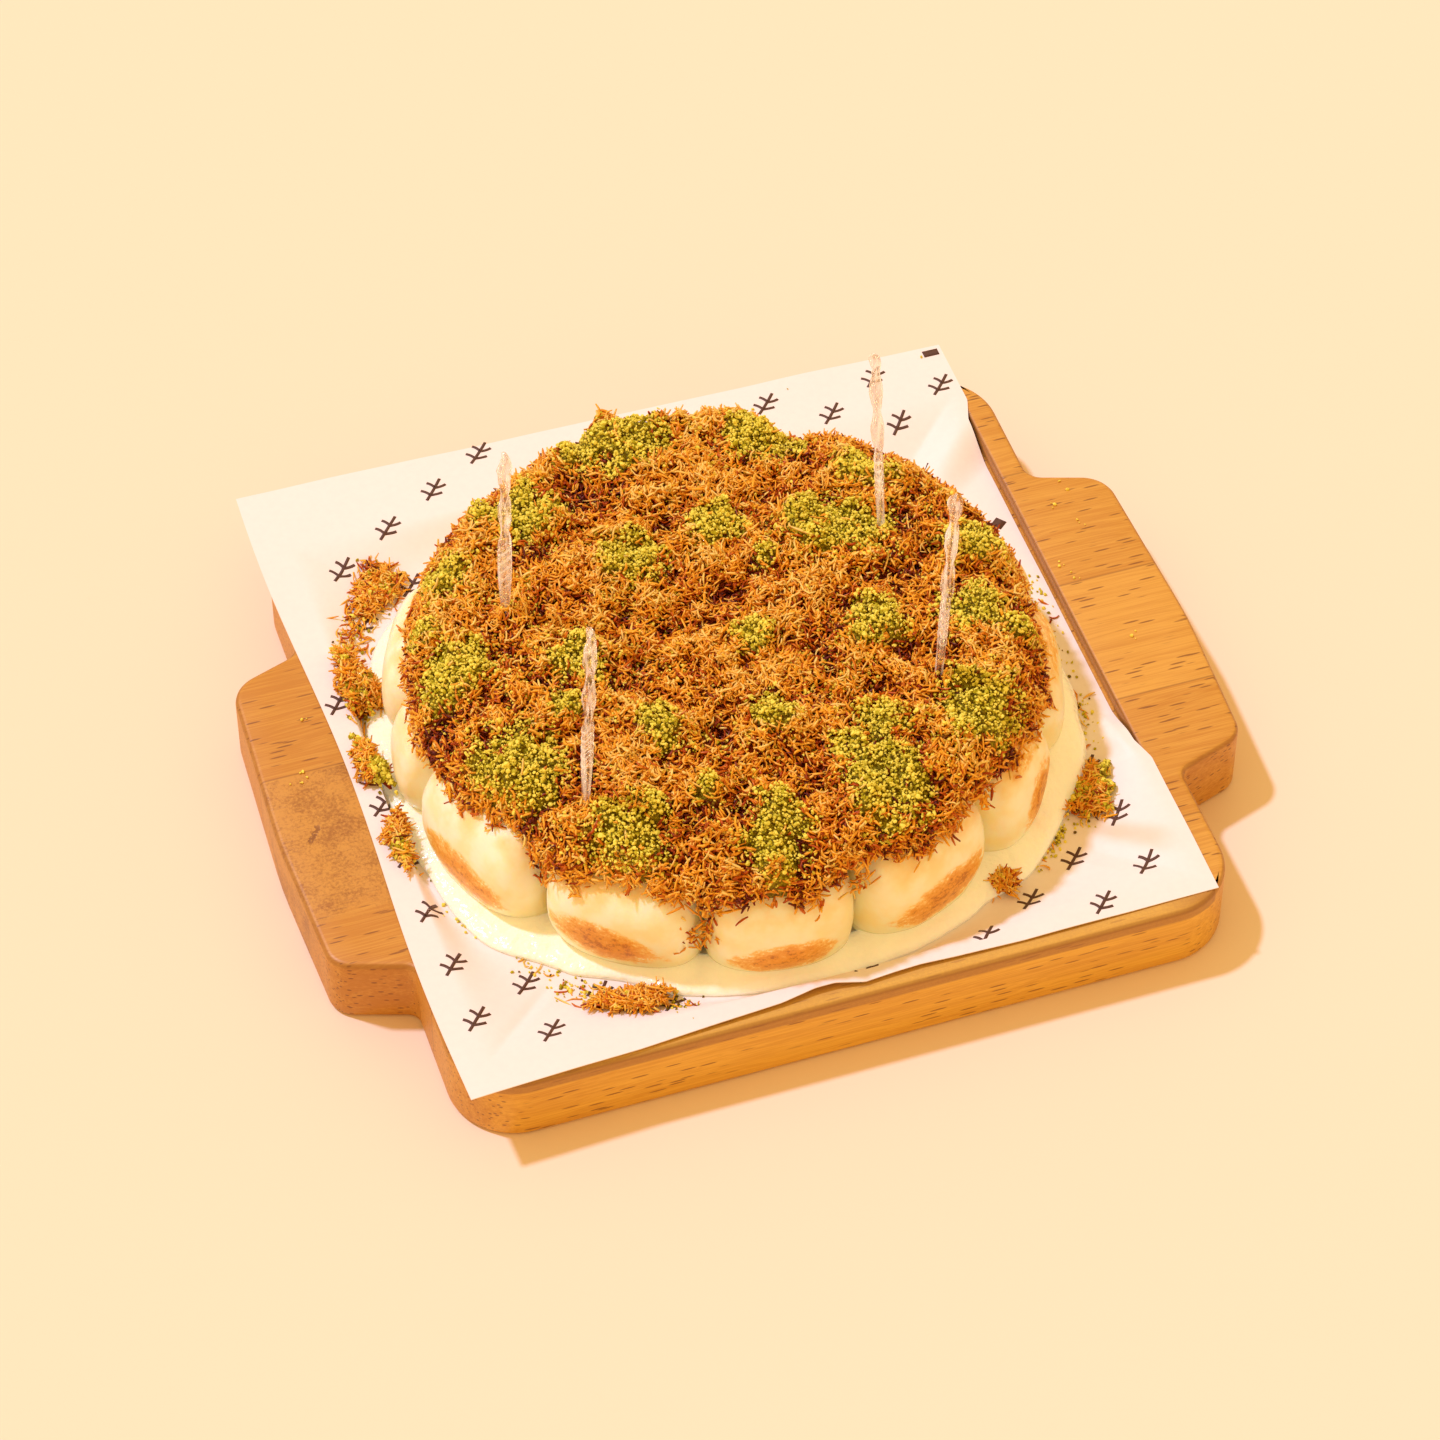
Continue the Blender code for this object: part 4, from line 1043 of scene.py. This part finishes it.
def makeClumps(bed, shredded, nut):
    # each bed is a dome: the flat spread is an oval times a ragged outline times sin(b), and the height
    # times cos(b), with noise, stands over the sheet
    cores, coreFaces, start = [], [], 0
    strandParts, nutParts = [], []
    for number, (_, x, y, halfLong, halfWide, height, turn, nuts) in enumerate(clumps):
        count, rows = 36, 12
        a = np.linspace(0, 2 * np.pi, count, endpoint=False)[None, :]
        b = np.linspace(0.02, 1, rows)[:, None] * np.pi / 2
        ragged = np.sin(b) * (0.8 + 0.35 * np.sin(2 * a + number) * np.sin(5 * a + 2 * number))
        flat = np.stack([np.cos(a) * ragged * (halfLong - 2), np.sin(a) * ragged * (halfWide - 1.5)], axis=-1)
        spin = rotation(turn)
        shape = flatPoints(flat @ spin + [x, y])
        middleHeight = paperHeight(np.array([[x, y, 0.0]]))[0]
        ground = np.maximum(paperHeight(shape), middleHeight)
        shape[..., 2] = ground + np.cos(b) * (height - 1) * (1 + 0.25 * smoothNoise(shape, 5, number)) - 0.1
        tips = [[x, y, shape[0, :, 2].mean()], [x, y, ground.min() - 0.1]]
        cores.append(np.concatenate([shape.reshape(-1, 3), tips]))
        coreFaces.append([part + start for part in closedFaces(rows, count, inward=True)])
        start += len(cores[-1])
        # places for the shreds and nuts over the mound
        total = int(halfLong * halfWide * (4 if height < 3 else 9))
        spread = np.sqrt(rng.uniform(0, 1, total)) * rng.uniform(0.8, 1.12, total)
        angle = rng.uniform(0, 2 * np.pi, total)
        ragged = 0.85 + 0.35 * np.sin(2 * angle + number) * np.sin(5 * angle + 2 * number)
        over = np.stack([np.cos(angle) * halfLong, np.sin(angle) * halfWide], axis=-1)
        over = flatPoints(over * (spread * ragged)[:, None] @ spin + [x, y])
        dome = np.sqrt(np.clip(1 - spread ** 2, 0, 1)) * height * rng.uniform(0.55, 1.1, total)
        over[:, 2] = np.maximum(paperHeight(over), middleHeight) + dome + 0.5
        isNut = rng.uniform(0, 1, total) < nuts * (0.4 + 1.2 * (smoothNoise(over, 9, 5 + number) > -0.1))
        strandParts.append(over[~isNut])
        nutParts.append(over[isNut])
    faces = [np.concatenate([parts[kind] for parts in coreFaces]) for kind in range(3)]
    piece = makePiece("fallenBeds", np.concatenate(cores), faces, bed)
    place(piece, "fallen_shreds", *[row[0] for row in clumps])
    loose = np.concatenate(strandParts)
    count = len(loose)
    ways = fallenWays(count, 0, 0.35)
    points, faces = strands(loose, *ways, *grown(count, 5, 0.6, 1.8, (0.65, 1.1), 1.6))
    tint = np.clip(rng.normal(0.62, 0.25, count), 0, 1)
    placeMany("fallenShreds", points, faces, shredded, tint, "fallen_shreds")
    loose = np.concatenate(nutParts)
    points, faces = grains(loose, rng.uniform(0.8, 2.4, len(loose)), octahedron())
    tint = np.clip(rng.normal(0.55, 0.25, len(loose)), 0, 1)
    placeMany("fallenNuts", points, faces, nut, tint, "fallen_shreds", smooth=False)


crumbs = [
    # from x, y to x, y, half width, grains, shreds
    (-121, -52, -84, -106, 5, 120, 16), (-94, -99, -54, -119, 5, 100, 30), (-124, 72, -128, -34, 5, 130, 60),
    (-98, 108, -122, 74, 8, 60, 150), (76, -97, 92, -84, 3.5, 170, 5), (100, -84, 120, -30, 6, 110, 26),
    (118, -30, 125, 30, 4, 60, 6), (-135, -130, 125, 145, 60, 50, 0),
]
boardCrumbs = [(-152, 20), (-156, 16), (149, 68), (150, 48), (142, 60), (147, -12),
               (-147, 44), (136, 30), (139, 22)]


def makeCrumbs(shredded, nut):
    # loose grains and shreds strewn along lines on the sheet and in threes on the board
    grainPlaces, shredPlaces = [], []
    for x0, y0, x1, y1, half, grainCount, shredCount in crumbs:
        total = grainCount + shredCount
        share = rng.uniform(-0.05, 1.05, (total, 1))
        line = np.array([x1 - x0, y1 - y0], float)
        way = unit(line)
        flat = np.array([x0, y0]) + line * share
        flat = flat + np.array([-way[1], way[0]]) * rng.normal(0, half * 0.6, (total, 1))
        spots = flatPoints(flat)
        radius, bearing = fromCentre(spots)
        onSheet = (np.abs(flat[:, 0]) < 127) & (np.abs(flat[:, 1] - 9) < 140)
        clear = (radius > creamSpread(bearing) - 1) & onSheet
        spots[:, 2] = paperTop(spots) + 0.35
        grainPlaces.append(spots[:grainCount][clear[:grainCount]])
        shredPlaces.append(spots[grainCount:][clear[grainCount:]])
    onBoard = np.array([(x, y, board["thickness"] + 0.4) for x, y in boardCrumbs])
    onBoard = np.repeat(onBoard, 3, axis=0) + rng.normal(0, 1.3, (3 * len(onBoard), 3)) * [1, 1, 0]
    places = np.concatenate(grainPlaces + [onBoard])
    points, faces = grains(places, rng.uniform(0.5, 1.5, len(places)), icosahedron())
    tint = np.clip(rng.normal(0.5, 0.3, len(places) - len(onBoard)), 0, 1)
    tint = np.concatenate([tint, np.full(len(onBoard), 0.75)])
    placeMany("looseNuts", points, faces, nut, tint, "fallen_shreds", smooth=False)
    places = np.concatenate(shredPlaces)
    count = len(places)
    along, up = fallenWays(count, 0.05, 0.12)
    turned, _ = curls(count, 1.6)
    length, thick = rng.gamma(5, 0.7, count) + 2, rng.uniform(0.6, 1.0, count)
    points, faces = strands(places, along, up, length, thick, turned, rng.normal(0, 0.3, count))
    tint = np.clip(rng.normal(0.6, 0.25, count), 0, 1)
    placeMany("looseShreds", points, faces, shredded, tint, "fallen_shreds")


picks = {
    # x and y at the foot from the cake's centre, height above it, lean of the tip
    "places": [(-70.8, 26.3, 81.5, 2.2, -0.5), (-69.3, -62.8, 86.5, 3.2, -0.9),
               (66.9, 23.7, 88, -4.2, 1.5), (62, -48.2, 92, 2.7, -1.1)],
    "foot": 53.9, "sunk": 14, "halfWidth": 2.5, "halfThickness": 1.3, "neck": 1.35, "tip": 3.0,
    # tint is the painted highlight on the clear plastic, and shade the painted brown of the topping seen
    # through it
    "turns": 1.25, "twistStart": 0.45, "tint": (1.0, 0.95, 0.88), "shade": (0.86, 0.62, 0.38),
    # ribs: where they come and go, how far apart along the bar and across it, and their depth
    "ribbed": (0.16, 0.24, 0.42, 0.5), "ribGaps": (4.4, 5.5), "ribDepth": 0.2,
    "swell": 0.10, "swellLength": 0.2, "tipFrom": 0.9, "roundness": 0.7,
}


def plasticMaterial():
    material, shader, where = newMaterial("clearPlastic", Roughness=0.06, IOR=1.46, Transmission_Weight=0.6,
                                          Emission_Strength=0.18)
    # lengthwise bands and the ribs get a painted highlight in the tint, which also glows faintly; the rest is
    # painted the brown of the topping seen through the plastic
    paintedHighlightBands = where.stretched(1, 1, 0.06).noise(0.75, 1).step(0.38, 0.62)
    ribs = where.value("rib").step(0.3, 0.8)
    paintedHighlight = ribs.maths("MAXIMUM", ribs, paintedHighlightBands)
    connect(shader, {"Base Color": paintedHighlight.mix(picks["shade"], picks["tint"]),
                     "Emission Color": paintedHighlight.mix((0, 0, 0), picks["tint"]),
                     "Roughness": where.noise(0.5, 2) * 0.06 + 0.01})
    # part of the light goes straight through, most of it in the middle of the bar
    tree = material.node_tree
    edge = where.node("ShaderNodeLayerWeight", None, {"Blend": 0.5}, 1)
    through = where.node("ShaderNodeBsdfTransparent", None, {"Color": (1, 0.97, 0.93, 1)})
    share = edge * 0.35 + paintedHighlightBands * 0.5 + ribs * 0.5 + 0.08
    both = where.node("ShaderNodeMixShader", None, {0: share, 1: through, 2: Field(tree, shader.outputs[0])})
    tree.links.new(both.socket, tree.nodes["Material Output"].inputs["Surface"])
    return material


def makePicks(material):
    # a straight bar whose section is an oval to a power, turned more and more along the twisted part. Its
    # width and thickness swell out of the neck, and slanting cosine grooves cross the ribbed part
    rings, sides = 150, 20
    share = np.linspace(0, 1, rings)
    turn = np.linspace(0, 2 * np.pi, sides, endpoint=False)[None, :]
    for index, (x, y, height, leanX, leanY) in enumerate(picks["places"]):
        foot = centre + [x, y, cake["base"] + picks["foot"]]
        rise = np.array([leanX, leanY, height])
        length = np.linalg.norm(rise)
        along = rise / length
        distance = -picks["sunk"] + (length + picks["sunk"]) * share
        part = distance / length
        swell = smoothStep(0.02, 0.3, part)
        width = picks["neck"] + (picks["halfWidth"] - picks["neck"]) * swell
        first, full, fading, gone = picks["ribbed"]
        ribbed = smoothStep(first, full, part) * (1 - smoothStep(fading, gone, part))
        waves = smoothStep(0.45, 0.55, part) * np.sin(2 * np.pi * (part - 0.5) / picks["swellLength"]) ** 2
        width = width * (1 - picks["swell"] * waves)
        past = np.clip((part - picks["tipFrom"]) / (1 - picks["tipFrom"]), 0, 1)
        tip = picks["tip"] * np.sqrt(np.maximum(0.03, 1 - past ** 3))
        width = np.where(part > picks["tipFrom"], tip, width)
        thick = picks["neck"] + (picks["halfThickness"] - picks["neck"]) * swell
        thick = thick * np.sqrt(np.maximum(0.12, 1 - past ** 4))
        twisted = np.clip(part - picks["twistStart"], 0, 1) / (1 - picks["twistStart"])
        spin = (2 * np.pi * picks["turns"] * twisted)[:, None] + 0.5 * index
        cosine, sine, power = np.cos(turn), np.sin(turn), picks["roundness"]
        x1 = width[:, None] * np.sign(cosine) * np.abs(cosine) ** power
        y1 = thick[:, None] * np.sign(sine) * np.abs(sine) ** power
        alongGap, acrossGap = picks["ribGaps"]
        ribs = ribbed[:, None] * np.cos(2 * np.pi * (distance[:, None] / alongGap + x1 / acrossGap))
        y1 = y1 * (1 + picks["ribDepth"] * ribs)
        aside = unit(np.cross(along, [0, 1, 0]))
        other = np.cross(along, aside)
        local = (x1 * np.cos(spin) - y1 * np.sin(spin))[..., None] * aside
        local = local + (x1 * np.sin(spin) + y1 * np.cos(spin))[..., None] * other
        points = (foot + along * distance[:, None])[:, None] + local
        ends = [foot + along * distance[0], foot + along * (distance[-1] + 0.2)]
        points = np.concatenate([points.reshape(-1, 3), ends])
        rib = np.concatenate([ribs.ravel(), [0, 0]])
        piece = makePiece(f"clearPick{index + 1}", points, closedFaces(rings, sides), material, {"rib": rib})
        place(piece, "clear_plastic", f"pick_{index + 1}")


light = {
    "sun": 2.6, "sunColour": (0.58, 0.64, 1.0), "softness": 4, "towards": (13, -10.7, -28),
    "sky": 0.98, "skyColour": (1.0, 0.665, 0.29), "floor": (0.92, 0.74, 0.52),
    "floorHalf": 3000,
}


def makeStage():
    material, shader, where = newMaterial("pastelFloor", Roughness=0.9, Specular_IOR_Level=0)
    darker = tuple(0.995 * value for value in light["floor"])
    connect(shader, {"Base Color": where.noise(0.004, 2).mix(light["floor"], darker)})
    half = light["floorHalf"]
    points = [(-half, -half, -0.05), (half, -half, -0.05), (half, half, -0.05), (-half, half, -0.05)]
    floor = makePiece("floor", points, [np.array([[0, 1, 2, 3]])], material)
    sun = bpy.data.lights.new("key", "SUN")
    sun.energy, sun.color, sun.angle = light["sun"], light["sunColour"], math.radians(light["softness"])
    key = bpy.data.objects.new("key", sun)
    key.rotation_euler = Vector(light["towards"]).to_track_quat("-Z", "Y").to_euler()
    bpy.context.scene.collection.objects.link(key)
    world = bpy.data.worlds.new("room")
    world.use_nodes = True
    sky = world.node_tree.nodes["Background"].inputs
    sky["Color"].default_value = (*light["skyColour"], 1)
    sky["Strength"].default_value = light["sky"]
    bpy.context.scene.world = world


camera = {"place": (-376.0, -1115.3, 1355.0), "target": (1.31, 20.66, 0), "lens": 125}


def makeCamera():
    made = bpy.data.cameras.new("photoView")
    made.lens, made.sensor_width = camera["lens"], 36
    made.clip_end = 20
    item = bpy.data.objects.new("photoView", made)
    item.location = Vector(camera["place"]) * mm
    ahead = Vector(camera["target"]) - Vector(camera["place"])
    item.rotation_euler = ahead.to_track_quat("-Z", "Y").to_euler()
    bpy.context.scene.collection.objects.link(item)
    bpy.context.scene.camera = item


makeStage()
makeCamera()
print("stage and camera set")
makeBoard()
makePaper()
makePrint()
print("board and paper made")
bread = breadMaterial()
makeBuns(bread)
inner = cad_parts["inner_buns"]
inner.data.materials.clear()
inner.data.materials.append(bread)
makeCream()
print("buns and cream made")
bedding, shredded, nut = bedMaterial(), shredMaterial(), nutMaterial()
makeToppingCore(bedding)
makeShreds(shredded)
makeTopShreds(shredded)
makeRimShreds(shredded)
makeCreaseShreds(shredded)
makeNuts(nut)
print("topping made")
makeClumps(bedding, shredded, nut)
makeCrumbs(shredded, nut)
makePicks(plasticMaterial())
print("clumps and picks made")
